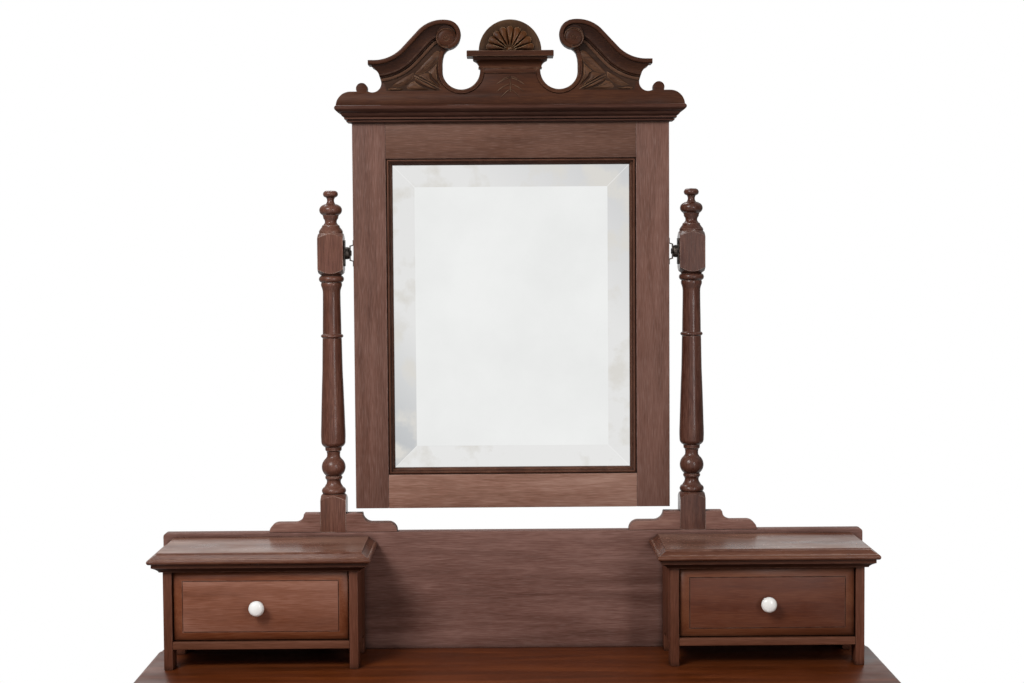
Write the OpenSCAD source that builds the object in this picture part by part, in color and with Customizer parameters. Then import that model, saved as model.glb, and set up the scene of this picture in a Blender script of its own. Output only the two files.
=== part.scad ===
// Dressing table with a swing mirror between two turned posts.
// Front faces -Y, right is +X. The origin is on the floor under the middle of the piece.

/* [Table top] */
// Width of the table top
top_w = 1074; // [1000:1:1160]
// Depth of the table top, front to back
top_d = 480; // [440:1:540]
// Thickness of the table top
top_t = 22; // [18:1:26]
// Height of the table top above the floor
top_h = 760; // [720:1:800]
// Radius of the moulded upper edge of the top
top_edge_r = 9; // [5:0.5:12]
// Small flat step above the moulded edge
top_step = 2; // [1:0.5:3]

/* [Table frame] */
// Side of the square leg stock
leg_sq = 55; // [48:1:62]
// Distance of the legs in from the front and side edges of the top
leg_inset = 28; // [20:1:40]
// Height of the frieze under the top
frieze_h = 138; // [125:1:150]
// Thickness of the aprons
apron_t = 20; // [16:1:24]
// Distance of the apron faces behind the leg faces
apron_set = 4; // [2:0.5:8]
// Length of the tenons on the aprons and rails
tenon_l = 15; // [10:1:18]
// Thickness of those tenons
tenon_t = 8; // [6:1:10]
// Height of the front rail above the drawers
top_rail_h = 18; // [14:1:22]
// Height of the front rail below the drawers
low_rail_h = 20; // [16:1:24]
// Depth of the front rails, front to back
rail_d = 45; // [36:1:50]
// Width of the upright between the drawers
upright_w = 28; // [22:1:36]
// Thickness of the strips the drawers run under
kicker_t = 16; // [12:1:18]
// Height of the guide on top of each runner
guide_h = 12; // [8:1:16]

/* [Turned legs] */
// Height of the tapered foot below the rings
foot_h = 62; // [50:1:72]
// Radius of the foot on the floor
foot_r = 14; // [11:0.5:17]
// Radius of the ball above the foot
leg_ball_r = 26; // [23:0.5:27]
// Largest radius of the swelling above the ball
leg_swell_r = 25.5; // [22:0.5:27]
// Smallest radius of the long taper
leg_slim_r = 18; // [15:0.5:21]

/* [Backboard] */
// Height of the backboard above the table top
board_h = 176; // [166:1:200]
// Thickness of the backboard
board_t = 22; // [18:1:24]
// How far the backboard ends stand in from the ends of the top
board_inset = 12; // [4:0.5:14]
// How far the backboard reaches below the table surface
board_drop = 44; // [36:1:60]
// Radius of the upper corners of the backboard
board_corner_r = 5; // [3:0.5:10]

/* [Mirror posts] */
// Side of the square post stock
post_sq = 38; // [36:0.5:40]
// Height of the square base block above the backboard
base_block_h = 56; // [50:1:64]
// Height of the square block at the pivot
pivot_block_h = 61; // [54:1:68]
// Height of the finial knob above the pivot block
finial_h = 63; // [58:1:72]
// Distance of the bead on the column below the pivot
bead_drop = 124; // [110:1:140]
// How far the post tails reach below the table surface
tail_drop = 30; // [20:1:34]
// Height of the shaped wings beside each post
wing_h = 28; // [26:0.5:34]
// Length of each wing from the centre of its post
wing_l = 96; // [88:1:104]
// Half length of the flat top of the wings
wing_flat = 44; // [38:1:48]
// Radius of the rounded end of each wing
wing_end_r = 14; // [11:0.5:16]

/* [Swing mirror] */
// Width of the mirror frame
mirror_w = 472; // [450:1:500]
// Height of the mirror frame without its cornice
mirror_h = 576; // [540:1:620]
// Thickness of the mirror frame
frame_t = 22; // [20:0.5:26]
// Width of the frame's two uprights
stile_w = 49.5; // [46:0.5:56]
// Height of the upper rail of the frame
frame_top_rail = 52.5; // [48:0.5:60]
// Height of the lower rail of the frame
frame_low_rail = 50.5; // [46:0.5:58]
// Length of the tenons on the frame's rails
rail_tenon = 30; // [20:1:36]
// Thickness of those tenons
rail_tenon_t = 7; // [5:0.5:8]
// Width of the small moulding round the glass
sight_w = 9; // [8:0.5:12]
// Distance of that moulding behind the face of the frame
sight_set = 1; // [0.5:0.5:2]
// Thickness of the mirror glass
glass_t = 5; // [4:0.5:6]
// How far the glass reaches under the moulding on each side
glass_lap = 2.5; // [2:0.5:4]
// Width of the bevel on the glass
bevel_w = 36; // [28:1:40]
// Depth of the bevel at the edge of the glass
bevel_drop = 2.4; // [1.6:0.2:3]
// Thickness of the board behind the glass
back_t = 6; // [4:0.5:8]
// How far that board laps over the back of the frame
back_lap = 18; // [12:1:24]
// Distance of the pivots below the top of the frame
pivot_drop = 192.5; // [180:0.5:210]
// Clear height between the wings and the mirror frame
swing_clear = 6.5; // [4:0.5:10]

/* [Pivots] */
// Clear width between a post and the mirror frame
pivot_gap = 15; // [13:0.5:18]
// Radius of the pivot pins
pin_r = 3; // [2.5:0.25:4]
// Radial clearance of the pins in the straps
pin_clear = 0.05; // [0.03:0.01:0.08]
// Radius of the heads that keep the straps on the pins
pin_head_r = 4.2; // [3.5:0.1:5]
// Thickness of those heads
pin_head_t = 1.2; // [0.8:0.1:1.5]
// Height of the plate on the post
plate_h = 39; // [34:1:44]
// Width of the plate on the post
plate_w = 18; // [14:1:22]
// Thickness of the plate on the post
plate_t = 2; // [1.5:0.25:3]
// Radius of the domed boss on the plate
boss_r = 9.3; // [8:0.1:9.6]
// Height of the domed boss
boss_h = 6.5; // [5:0.5:7]
// Half height between the arms of the strap where they meet the frame
strap_half = 11.5; // [10.5:0.5:14]
// Thickness of the strap
strap_t = 1.2; // [1:0.1:1.6]
// Width of the strap
strap_w = 12; // [10:1:16]
// Height of the strap's feet beyond its arms
strap_foot = 7; // [5:0.5:10]
// Gap between the strap and the boss, and between the strap and the pin's head
strap_gap = 0.3; // [0.3:0.05:0.5]

/* [Cornice and pediment] */
// Height of the cornice
cornice_h = 25.5; // [22:0.5:30]
// Projection of the cornice beyond the frame
cornice_out = 24; // [20:0.5:27]
// Height of the rounded front edge of the cornice
cornice_nose = 8; // [6:0.5:9]
// Thickness of the pediment board
ped_t = 20; // [18:0.5:22]
// Height of the plain base of the pediment
ped_base_h = 22; // [20:0.5:23]
// Half width of the centre pedestal
pedestal_half = 44.8; // [43:0.2:49]
// Height of the pedestal up to its moulded cap
pedestal_h = 54.8; // [50:0.5:60]
// Radius of the round openings beside the pedestal
notch_r = 28; // [25:0.2:29]
// Height of the centre of those openings
notch_h = 52; // [50:0.1:54]
// Radius of the scroll heads
head_r = 21.5; // [20:0.5:23]
// Radius of the turned boss on each scroll head
roundel_r = 15.2; // [13:0.1:15.6]
// Height of the tops of the scrolls above the cornice
scroll_h = 125.7; // [120:0.1:130]
// Share of a swan neck's sweep that is curved rather than straight
neck_curved = 0.92; // [0.8:0.01:0.97]
// Share of that which the upper curve takes
neck_upper = 0.472; // [0.42:0.002:0.5]
// Height of the outer ends of the swan necks
neck_end_h = 67; // [65:0.5:69]
// Width of the moulding on the swan necks
neck_w = 26; // [22:0.5:28]
// Thickness of the moulding on the swan necks
neck_t = 14; // [12:0.5:18]
// Radius of the hollow below each swan neck's outer end
hollow_r = 13.5; // [13:0.1:14.5]
// Radius of the small balls at the ends of the base
end_ball_r = 8.5; // [7:0.5:9.5]
// Projection of the pedestal cap
cap_out = 18.5; // [14:0.5:20]
// Height of the shelf on the pedestal cap
cap_shelf = 8.7; // [6:0.1:10]
// Height of the hollow moulding under that shelf
cap_cove = 16.2; // [14:0.1:18]
// Radius of the carved fan crest
fan_r = 46.5; // [42:0.5:49]
// Thickness of the fan crest
fan_t = 15; // [12:0.5:18]
// Number of petals on the fan
fan_petals = 9; // [7:2:11]

/* [Jewel boxes] */
// Width of each jewel box over its ends
box_w = 278; // [260:1:300]
// Depth of the jewel box ends
box_d = 131; // [120:1:150]
// Distance of the boxes in from the ends of the top
box_inset = 35.5; // [24:0.5:40]
// Thickness of the box ends
box_end_t = 12.5; // [10:0.5:14]
// Height of the box ends
box_end_h = 142; // [130:1:150]
// Height of the open space under the box
box_foot_h = 29; // [24:1:34]
// Width of the legs left at the front and back of each end
box_leg = 32; // [26:1:38]
// Thickness of the floor of the box
box_floor_t = 11.5; // [9:0.5:14]
// Thickness of the moulded board under the lid board
under_t = 12.5; // [11:0.5:15]
// Projection of that moulding at its top
under_out = 14; // [11:0.5:16]
// Thickness of the lid board
lid_t = 15.5; // [13:0.5:18]
// Projection of the lid board
lid_out = 19.5; // [17:0.5:24]
// Width of the bevel round the lid board
lid_bevel = 14.5; // [10:0.5:18]
// Height of the upright edge of the lid board
lid_nose = 7.5; // [5:0.5:9]

/* [Drawers] */
// Gap round each drawer front
drawer_gap = 1.5; // [1:0.25:2]
// Gap between a drawer and the strips it runs on
run_gap = 0.4; // [0.3:0.1:0.8]
// Thickness of the jewel drawer fronts
jewel_front_t = 16; // [13:0.5:18]
// Thickness of the jewel drawer sides and backs
jewel_side_t = 8; // [6:0.5:10]
// Thickness of the frieze drawer fronts
frieze_front_t = 20; // [16:0.5:22]
// Thickness of the frieze drawer sides and backs
frieze_side_t = 11; // [9:0.5:13]
// Thickness of the drawer bottoms
bottom_t = 5; // [4:0.5:7]
// Height of the bottoms above the lower edge of the sides
bottom_up = 5; // [4:0.5:8]
// Width of the bevelled border at the ends of a front
border_side = 12; // [9:0.5:15]
// Width of the bevelled border along the top and bottom of a front
border_long = 14; // [10:0.5:17]
// Depth of that border at the edge of the front
border_drop = 4.5; // [3:0.5:6]
// Small step round the raised field
field_step = 0.8; // [0.5:0.1:1.2]
// Gap left in the butt joints and mitres between separate pieces
joint_gap = 0.1; // [0.05:0.05:0.2]
// How far the drawer sides stand below the top of their front
side_low = 8; // [5:1:12]
// Free space behind a closed drawer
drawer_behind = 5; // [3:1:10]
// Distance of the knobs from the middle of a frieze drawer
knob_spread = 112; // [90:1:130]

/* [Knobs and screws] */
// Radius of a knob's head
knob_r = 11.2; // [9:0.2:13]
// Length of a knob
knob_l = 21; // [18:0.5:24]
// Distance of the left jewel drawer's knob from the middle of its front, outwards
knob_off = 4; // [0:0.5:8]
// Radius of the screw shanks
screw_r = 2; // [1.5:0.1:2.5]
// Radius of the screw heads
screw_head_r = 4; // [3.5:0.1:5]
// Height of the screw heads
screw_head_t = 1.6; // [1:0.2:2.4]
// Length of the screws
screw_l = 34; // [30:1:38]
// Radial clearance round the screws
screw_clear = 0.05; // [0.03:0.01:0.1]

/* [Hidden] */
$fn = 48;
// Overrun of a cut past the face it leaves
over = 2;
// Half of a length far larger than the piece
far = 2000;

// Front to back places: the backboard's face stands at the back edge of the top
back_y = (top_d - post_sq - screw_head_t) / 2;
front_y = back_y - top_d;
axis_y = back_y + post_sq / 2;
frame_y = axis_y - frame_t / 2;

// Heights, from the floor up
frieze_top = top_h - top_t;
frieze_low = frieze_top - frieze_h;
drawer_top = frieze_top - top_rail_h;
drawer_low = frieze_low + low_rail_h;
board_top = top_h + board_h;
board_half = top_w / 2 - board_inset;
wing_top = board_top + wing_h;
frame_low = wing_top + swing_clear;
frame_top = frame_low + mirror_h;
pivot_z = frame_top - pivot_drop;
cornice_top = frame_top + cornice_h;
post_x = mirror_w / 2 + pivot_gap + post_sq / 2;
post_low = top_h - tail_drop;
block_low = pivot_z - pivot_block_h / 2;
block_top = pivot_z + pivot_block_h / 2;
base_block_top = board_top + base_block_h;

// Points of an arc about a centre, from one angle to another
function arc(cx, cy, r, a0, a1, n = 6) =
    [for (i = [0:n]) [cx + r * cos(a0 + (a1 - a0) * i / n), cy + r * sin(a0 + (a1 - a0) * i / n)]];
// The same points in the opposite order
function backwards(points) = [for (i = [len(points) - 1:-1:0]) points[i]];

// A box between two corners
module block(x0, x1, y0, y1, z0, z1) {
    translate([x0, y0, z0])
        cube([x1 - x0, y1 - y0, z1 - z0]);
}

// Draws an outline of (x, z) points standing upright: depth runs forward from y
module upright_at(y) {
    translate([0, y, 0])
        rotate([90, 0, 0])
            children();
}

// Draws an outline of (y, z) points standing sideways: depth runs to the right from x
module sideways_at(x) {
    translate([x, 0, 0])
        rotate([90, 0, 90])
            children();
}

// A board whose front and ends carry one moulding, mitred at the corners.
// The profile lists [projection, height] from the bottom up.
module moulded_board(x0, x1, y_front, y_back, z, profile) {
    back_up = backwards(profile);
    high = profile[len(profile) - 1][1];
    intersection() {
        upright_at(y_back)
            linear_extrude(top_d + far)
                polygon(concat([for (p = profile) [x1 + p[0], z + p[1]]],
                    [for (p = back_up) [x0 - p[0], z + p[1]]]));
        sideways_at(-far)
            linear_extrude(2 * far)
                polygon(concat([for (p = profile) [y_front - p[0], z + p[1]]],
                    [[y_back, z + high], [y_back, z]]));
    }
}

// A flat piece with a raised field and a bevelled border sloping back to its edges
module fielded_board(x0, x1, z0, z1, y_face, t, side, long, drop, step) {
    y_back = y_face + t;
    intersection() {
        translate([0, 0, z0])
            linear_extrude(z1 - z0)
                polygon([[x0, y_back], [x0, y_face + drop], [x0 + side, y_face + step],
                    [x0 + side, y_face], [x1 - side, y_face], [x1 - side, y_face + step],
                    [x1, y_face + drop], [x1, y_back]]);
        sideways_at(x0)
            linear_extrude(x1 - x0)
                polygon([[y_back, z0], [y_face + drop, z0], [y_face + step, z0 + long],
                    [y_face, z0 + long], [y_face, z1 - long], [y_face + step, z1 - long],
                    [y_face + drop, z1], [y_back, z1]]);
    }
}

// Four mitred strips round an opening; the profile lists [inward, depth behind the face]
module mitred_strips(x_half, z0, z1, y_face, profile) {
    mid = (z0 + z1) / 2;
    z_half = (z1 - z0) / 2;
    for (s = [0, 1])
        mirror([s, 0, 0])
            strip_cut(x_half, mid, z_half, true)
                translate([0, 0, z0])
                    linear_extrude(z1 - z0)
                        polygon([for (p = profile) [x_half - p[0], y_face + p[1]]]);
    for (s = [-1, 1])
        strip_cut(x_half, mid, z_half, false)
            sideways_at(-x_half)
                linear_extrude(2 * x_half)
                    polygon([for (p = profile) [y_face + p[1], mid + s * (z_half - p[0])]]);
}

// Trims a strip to the mitre lines of its opening
module strip_cut(x_half, mid, z_half, upright_strip) {
    reach = sight_w + over;
    intersection() {
        children();
        upright_at(far)
            linear_extrude(2 * far)
                if (upright_strip)
                    polygon([[x_half, mid - z_half + joint_gap], [x_half, mid + z_half - joint_gap],
                        [x_half - reach, mid + z_half - reach - joint_gap],
                        [x_half - reach, mid - z_half + reach + joint_gap]]);
                else
                    for (s = [-1, 1])
                        polygon([[-x_half, mid + s * z_half], [x_half, mid + s * z_half],
                            [x_half - reach, mid + s * (z_half - reach)],
                            [-x_half + reach, mid + s * (z_half - reach)]]);
    }
}

// Table frame

leg_x = top_w / 2 - leg_inset - leg_sq / 2;
leg_front_y = front_y + leg_inset + leg_sq / 2;
leg_back_y = back_y - leg_sq / 2;
apron_x = leg_x + leg_sq / 2 - apron_set - apron_t;
leg_inner_x = leg_x - leg_sq / 2;
rail_y = leg_front_y - leg_sq / 2;

// Radius profile of a turned leg from the floor to the underside of its square block
leg_block = frieze_low - leg_sq / 4;
leg_ball_z = foot_h + 18 + leg_ball_r;
leg_neck_z = leg_ball_z + leg_ball_r + 6;
leg_swell_z = leg_neck_z + 52;
leg_bead_z = leg_block - 104;
function leg_profile() = concat(
    [[0, 0], [foot_r - 2, 0], [foot_r, 2], [leg_slim_r, foot_h - 4], [leg_slim_r + 2, foot_h]],
    arc(leg_slim_r, foot_h + 5, 5, -60, 60, 5),
    [[leg_slim_r - 3, foot_h + 12], [leg_slim_r - 3, foot_h + 15]],
    arc(0, leg_ball_z, leg_ball_r, -52, 56, 10),
    [[leg_slim_r - 2, leg_ball_z + leg_ball_r - 2], [leg_slim_r - 4, leg_neck_z]],
    arc(leg_swell_r - 26, leg_swell_z, 26, -52, 20, 8),
    [[leg_swell_r - 3.5, leg_swell_z + 45], [leg_slim_r + 1.5, leg_swell_z + 120],
        [leg_slim_r, leg_bead_z - 40], [leg_slim_r, leg_bead_z - 5]],
    arc(leg_slim_r + 1, leg_bead_z, 4.5, -80, 80, 6),
    [[leg_slim_r + 0.5, leg_bead_z + 5.5], [leg_slim_r + 1.5, leg_bead_z + 40],
        [leg_slim_r + 5, leg_bead_z + 66], [leg_slim_r + 2, leg_bead_z + 70]],
    arc(leg_sq / 2 - 9, leg_block - 18, 8, -70, 70, 6),
    [[leg_sq / 2 - 7, leg_block - 8], [leg_sq / 2 - 4, leg_block - 2], [leg_sq * 0.72, leg_block + 9],
        [leg_sq * 0.72, frieze_top], [0, frieze_top]]);

// One leg: a square stick turned below its block
module leg(x, y) {
    color("#5a382b")
        intersection() {
            translate([x, y, 0])
                rotate_extrude()
                    polygon(leg_profile());
            block(x - leg_sq / 2, x + leg_sq / 2, y - leg_sq / 2, y + leg_sq / 2, 0, frieze_top);
        }
}

// Tenons of the end aprons, shared by the aprons and the mortises
module end_tenons(grow = 0) {
    x = apron_x + apron_t / 2 - tenon_t / 2;
    for (s = [0, 1])
        mirror([s, 0, 0])
            block(x - grow, x + tenon_t + grow,
                leg_front_y + leg_sq / 2 - tenon_l - grow, leg_back_y - leg_sq / 2 + tenon_l + grow,
                frieze_low + apron_t - grow, frieze_top - apron_t + grow);
}

// Tenons of the back apron
module back_tenons(grow = 0) {
    y = back_y - apron_set - apron_t / 2 - tenon_t / 2;
    block(-leg_inner_x - tenon_l - grow, leg_inner_x + tenon_l + grow, y - grow, y + tenon_t + grow,
        frieze_low + apron_t - grow, frieze_top - apron_t + grow);
}

// Tenons of the two front rails
module rail_tenons(grow = 0) {
    for (z = [frieze_low + low_rail_h / 2, frieze_top - top_rail_h / 2])
        block(-leg_inner_x - tenon_l - grow, leg_inner_x + tenon_l + grow,
            rail_y + rail_d / 2 - tenon_t - grow, rail_y + rail_d / 2 + tenon_t + grow,
            z - tenon_t / 2 - grow, z + tenon_t / 2 + grow);
}

tenon_clear = 0.2;

module front_legs(side) {
    difference() {
        leg(side * leg_x, leg_front_y);
        end_tenons(tenon_clear);
        rail_tenons(tenon_clear);
    }
}

module back_legs(side) {
    difference() {
        leg(side * leg_x, leg_back_y);
        end_tenons(tenon_clear);
        back_tenons(tenon_clear);
    }
}

module front_left_leg() { front_legs(-1); }
module front_right_leg() { front_legs(1); }
module back_left_leg() { back_legs(-1); }
module back_right_leg() { back_legs(1); }

module end_aprons() {
    color("#5f3c2e") {
        for (s = [0, 1])
            mirror([s, 0, 0])
                block(apron_x, apron_x + apron_t, leg_front_y + leg_sq / 2, leg_back_y - leg_sq / 2,
                    frieze_low, frieze_top);
        end_tenons();
    }
}

module back_apron() {
    y = back_y - apron_set - apron_t;
    color("#5b3a2d") {
        block(-leg_inner_x, leg_inner_x, y, y + apron_t, frieze_low, frieze_top);
        back_tenons();
    }
}

module front_rails() {
    color("#63402f") {
        block(-leg_inner_x, leg_inner_x, rail_y, rail_y + rail_d, frieze_low, drawer_low);
        block(-leg_inner_x, leg_inner_x, rail_y, rail_y + rail_d, drawer_top, frieze_top);
        rail_tenons();
    }
}

module drawer_upright() {
    color("#63402f")
        block(-upright_w / 2, upright_w / 2, rail_y, rail_y + rail_d, drawer_low, drawer_top);
}

// Places of the strips behind the front rails
strip_y0 = rail_y + rail_d;
strip_y1 = back_y - apron_set - apron_t;
guide_x = leg_inner_x;
guide_y0 = leg_front_y + leg_sq / 2;
guide_y1 = leg_back_y - leg_sq / 2;
run_reach = frieze_side_t + over + over;

// Three strips that carry the drawers, each with a guide on top
module drawer_runners() {
    color("#7a5a40") {
        for (s = [0, 1])
            mirror([s, 0, 0]) {
                block(guide_x - run_reach, guide_x, strip_y0, strip_y1, frieze_low, drawer_low);
                block(guide_x - over, apron_x, guide_y0, guide_y1, frieze_low, drawer_low);
                block(guide_x, apron_x, guide_y0, guide_y1, drawer_low - over, drawer_low + guide_h);
            }
        block(-upright_w / 2 - run_reach, upright_w / 2 + run_reach, strip_y0, strip_y1,
            frieze_low, drawer_low);
        block(-upright_w / 2, upright_w / 2, strip_y0, strip_y1, drawer_low - over, drawer_low + guide_h);
    }
}

// Three strips over the drawers that stop them tipping
module drawer_kickers() {
    color("#7a5a40") {
        for (s = [0, 1])
            mirror([s, 0, 0])
                block(guide_x - run_reach, guide_x, strip_y0, strip_y1, frieze_top - kicker_t, frieze_top);
        block(-upright_w / 2 - run_reach, upright_w / 2 + run_reach, strip_y0, strip_y1,
            frieze_top - kicker_t, frieze_top);
    }
}

// Screws: into the back edge of the top, and through the post tails
screw_z = top_h - top_t / 2;
tail_screw_z = top_h + board_h / 2;
top_screws = [-0.86, -0.3, 0.3, 0.86];
tail_screws = [-0.3, 0.3];

module at_screws() {
    for (k = top_screws)
        translate([k * board_half, back_y + board_t, screw_z])
            rotate([-90, 0, 0])
                children();
    for (s = [-1, 1], k = tail_screws)
        translate([s * post_x, back_y + post_sq, tail_screw_z + k * board_h])
            rotate([-90, 0, 0])
                children();
}

module screw_holes() {
    at_screws()
        translate([0, 0, -screw_l - over])
            cylinder(r = screw_r + screw_clear, h = screw_l + 2 * over);
}

module back_screws() {
    color("#4a4038")
        at_screws() {
            translate([0, 0, -screw_l])
                cylinder(r = screw_r, h = screw_l + screw_r / 2);
            cylinder(r1 = screw_head_r, r2 = screw_head_r - 1, h = screw_head_t);
        }
}

module table_top() {
    edge = concat([[-3, 0], [-1, 2]], arc(-top_edge_r, top_t - top_step - top_edge_r, top_edge_r, 0, 90, 6),
        [[-top_edge_r, top_t]]);
    color("#4a2c20")
        difference() {
            moulded_board(-top_w / 2, top_w / 2, front_y, back_y, frieze_top, edge);
            screw_holes();
        }
}

// Backboard, wings and posts

module backboard() {
    color("#5c3b33")
        difference() {
            upright_at(back_y + board_t)
                linear_extrude(board_t)
                    difference() {
                        translate([-board_half, top_h - board_drop])
                            square([2 * board_half, board_h + board_drop]);
                        for (s = [0, 1])
                            mirror([s, 0])
                                translate([board_half - board_corner_r, board_top - board_corner_r])
                                    difference() {
                                        square(board_corner_r + over);
                                        circle(board_corner_r);
                                    }
                    }
            screw_holes();
        }
}

wing_cove_r = wing_h - wing_end_r;
module wing_outline() {
    polygon(concat([[post_sq / 2, 0], [post_sq / 2, wing_h]],
        arc(wing_flat + wing_cove_r, wing_h, wing_cove_r, 180, 270, 8),
        arc(wing_l - wing_end_r, 0, wing_end_r, 90, 0, 8)));
}

module post_wings(side) {
    color("#5f3d31")
        translate([side * post_x, 0, board_top])
            upright_at(back_y + board_t)
                linear_extrude(board_t)
                    for (s = [0, 1])
                        mirror([s, 0])
                            wing_outline();
}

module left_post_wings() { post_wings(-1); }
module right_post_wings() { post_wings(1); }

// Radius profile of a mirror post. All turned work is smaller than the square stock;
// the wide stretches are where the stock is left square.
wide_r = post_sq * 0.72;
bulb_r = 17;
knob_top_r = 11.2;
column_z = base_block_top + 75;
bead_z = pivot_z - bead_drop;
function base_turning() = concat(
    [[0, post_low], [wide_r, post_low], [wide_r, base_block_top - 9],
        [post_sq / 2, base_block_top - 2], [17, base_block_top]],
    arc(12.5, base_block_top + 4.5, 5.7, -50, 70, 6),
    [[12.5, base_block_top + 13], [10.6, base_block_top + 17], [10.4, base_block_top + 20],
        [12.8, base_block_top + 23.5], [12.9, base_block_top + 26]],
    arc(1.3, base_block_top + 40.5, 16.6, -52, 50, 10),
    [[10, base_block_top + 56], [9.7, base_block_top + 60], [10.4, base_block_top + 64],
        [12.3, base_block_top + 66], [12.4, base_block_top + 69]],
    arc(9.2, column_z + 4, 9, -68, 0, 7));
function column_turning() = concat(
    [[18.5, column_z + 12], [18, column_z + 30], [16.8, column_z + 70], [15.3, column_z + 110],
        [14.5, bead_z - 8], [14.3, bead_z - 3]],
    arc(14.2, bead_z, 2.6, -70, 70, 5),
    [[14, bead_z + 3], [13.8, bead_z + 20], [13.3, bead_z + 50], [13.2, block_low - 28],
        [14.2, block_low - 22], [15.7, block_low - 18], [15.8, block_low - 15]],
    arc(13.2, block_low - 8, 5.6, -70, 70, 6),
    [[16.8, block_low - 1.5], [wide_r, block_low + 7], [wide_r, block_top - 9]]);
function finial_turning() = concat(
    [[17.8, block_top - 0.5], [17.9, block_top + 2.5], [16.4, block_top + 5],
        [13.6, block_top + 8.5], [13, block_top + 11], [10.4, block_top + 13],
        [8.8, block_top + 16], [9.2, block_top + 19], [11.2, block_top + 22], [11.4, block_top + 24]],
    arc(8.9, block_top + 34, 8.1, -65, 62, 8),
    [[7.4, block_top + finial_h - 20], [5.3, block_top + finial_h - 16],
        [5.3, block_top + finial_h - 13.5], [6.6, block_top + finial_h - 10.5]],
    arc(knob_top_r - 5.2, block_top + finial_h - 5.2, 5.2, -45, 80, 7),
    [[0, block_top + finial_h + 0.4]]);

// One post: a turned square stick whose lower end is cut back to lap behind the backboard
module post(side) {
    x = side * post_x;
    color("#5a382b")
        difference() {
            intersection() {
                translate([x, axis_y, 0])
                    rotate_extrude()
                        polygon(concat(base_turning(), column_turning(), finial_turning()));
                block(x - post_sq / 2, x + post_sq / 2, back_y, back_y + post_sq, post_low,
                    block_top + finial_h + over);
            }
            block(x - post_sq, x + post_sq, back_y - over, back_y + board_t, post_low - over, board_top);
            screw_holes();
        }
}

module left_post() { post(-1); }
module right_post() { post(1); }

// Jewel boxes: all is drawn for the left box and mirrored for the right one

box_x0 = -(top_w / 2 - box_inset);
box_x1 = box_x0 + box_w;
box_y = back_y - box_d;
floor_z = top_h + box_foot_h;
under_z = top_h + box_end_h;

module for_side(side) {
    mirror([side > 0 ? 1 : 0, 0, 0])
        children();
}

module box_lid(side) {
    nose_r = lid_nose / 2;
    edge = concat(arc(lid_out - nose_r, nose_r, nose_r, -90, 72, 7),
        [[lid_out - lid_bevel, lid_t - 0.9], [lid_out - lid_bevel, lid_t]]);
    color("#5a3626")
        for_side(side)
            moulded_board(box_x0, box_x1, box_y, back_y, under_z + under_t, edge);
}

module box_moulding(side) {
    w = under_out / 14;
    h = under_t / 12.5;
    edge = [for (p = [[4.8, 0], [4.9, 1], [5.6, 2], [7, 3.3], [9, 4.8], [11.2, 6], [13.2, 7], [14, 7.3], [14, 12.5]])
        [p[0] * w, p[1] * h]];
    color("#4c2b1f")
        for_side(side)
            moulded_board(box_x0, box_x1, box_y, back_y, under_z, edge);
}

module box_ends(side) {
    gap_r = 8;
    color("#5d3a2b")
        for_side(side)
            for (x = [box_x0, box_x1 - box_end_t])
                sideways_at(x)
                    linear_extrude(box_end_t)
                        difference() {
                            translate([box_y, top_h])
                                square([box_d, box_end_h]);
                            polygon(concat([[box_y + box_leg, top_h - over]],
                                arc(box_y + box_leg + gap_r, floor_z - gap_r, gap_r, 180, 90, 5),
                                arc(back_y - box_leg - gap_r, floor_z - gap_r, gap_r, 90, 0, 5),
                                [[back_y - box_leg, top_h - over]]));
                        }
}

module box_floor(side) {
    color("#6a4130")
        for_side(side)
            block(box_x0 + box_end_t, box_x1 - box_end_t, box_y, back_y, floor_z, floor_z + box_floor_t);
}

module left_box_lid() { box_lid(-1); }
module left_box_moulding() { box_moulding(-1); }
module left_box_ends() { box_ends(-1); }
module left_box_floor() { box_floor(-1); }
module right_box_lid() { box_lid(1); }
module right_box_moulding() { box_moulding(1); }
module right_box_ends() { box_ends(1); }
module right_box_floor() { box_floor(1); }

// Drawers

// Turned white knob on a drawer face
module knob(x, y, z) {
    color("#f2f1ec")
        translate([x, y, z])
            rotate([90, 0, 0])
                rotate_extrude()
                    polygon(concat([[0, 0], [knob_r * 0.72, 0], [knob_r * 0.72, 1.5], [knob_r * 0.52, 4]],
                        [[knob_r * 0.5, knob_l - 12]],
                        arc(knob_r - 6, knob_l - 6.4, 6, -60, 70, 7),
                        [[knob_r * 0.3, knob_l], [0, knob_l + 0.3]]));
}

// Two sides and a back, as separate boards behind a drawer front
module drawer_sides(x0, x1, y0, y1, z0, z1, t) {
    block(x0, x0 + t, y0, y1, z0, z1);
    block(x1 - t, x1, y0, y1, z0, z1);
    block(x0 + t + joint_gap, x1 - t - joint_gap, y1 - t, y1, z0 + bottom_up + bottom_t, z1);
}

module drawer_bottom(x0, x1, y0, y1, z0, t) {
    block(x0 + t, x1 - t, y0, y1, z0 + bottom_up, z0 + bottom_up + bottom_t);
}

// Places of the left jewel drawer
jewel_x0 = box_x0 + box_end_t + drawer_gap;
jewel_x1 = box_x1 - box_end_t - drawer_gap;
jewel_z0 = floor_z + box_floor_t + run_gap;
jewel_z1 = under_z - drawer_gap;
jewel_y0 = box_y + jewel_front_t;
jewel_y1 = back_y - drawer_behind;

module jewel_front(side) {
    color("#6e3c28")
        for_side(side)
            fielded_board(jewel_x0, jewel_x1, jewel_z0 + drawer_gap - run_gap, jewel_z1, box_y,
                jewel_front_t, border_side, border_long, border_drop, field_step);
}

module jewel_sides(side) {
    color("#8a6748")
        for_side(side)
            drawer_sides(jewel_x0, jewel_x1, jewel_y0, jewel_y1, jewel_z0, jewel_z1 - side_low,
                jewel_side_t);
}

module jewel_bottom(side) {
    color("#8f6c4c")
        for_side(side)
            drawer_bottom(jewel_x0, jewel_x1, jewel_y0, jewel_y1, jewel_z0, jewel_side_t);
}

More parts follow.
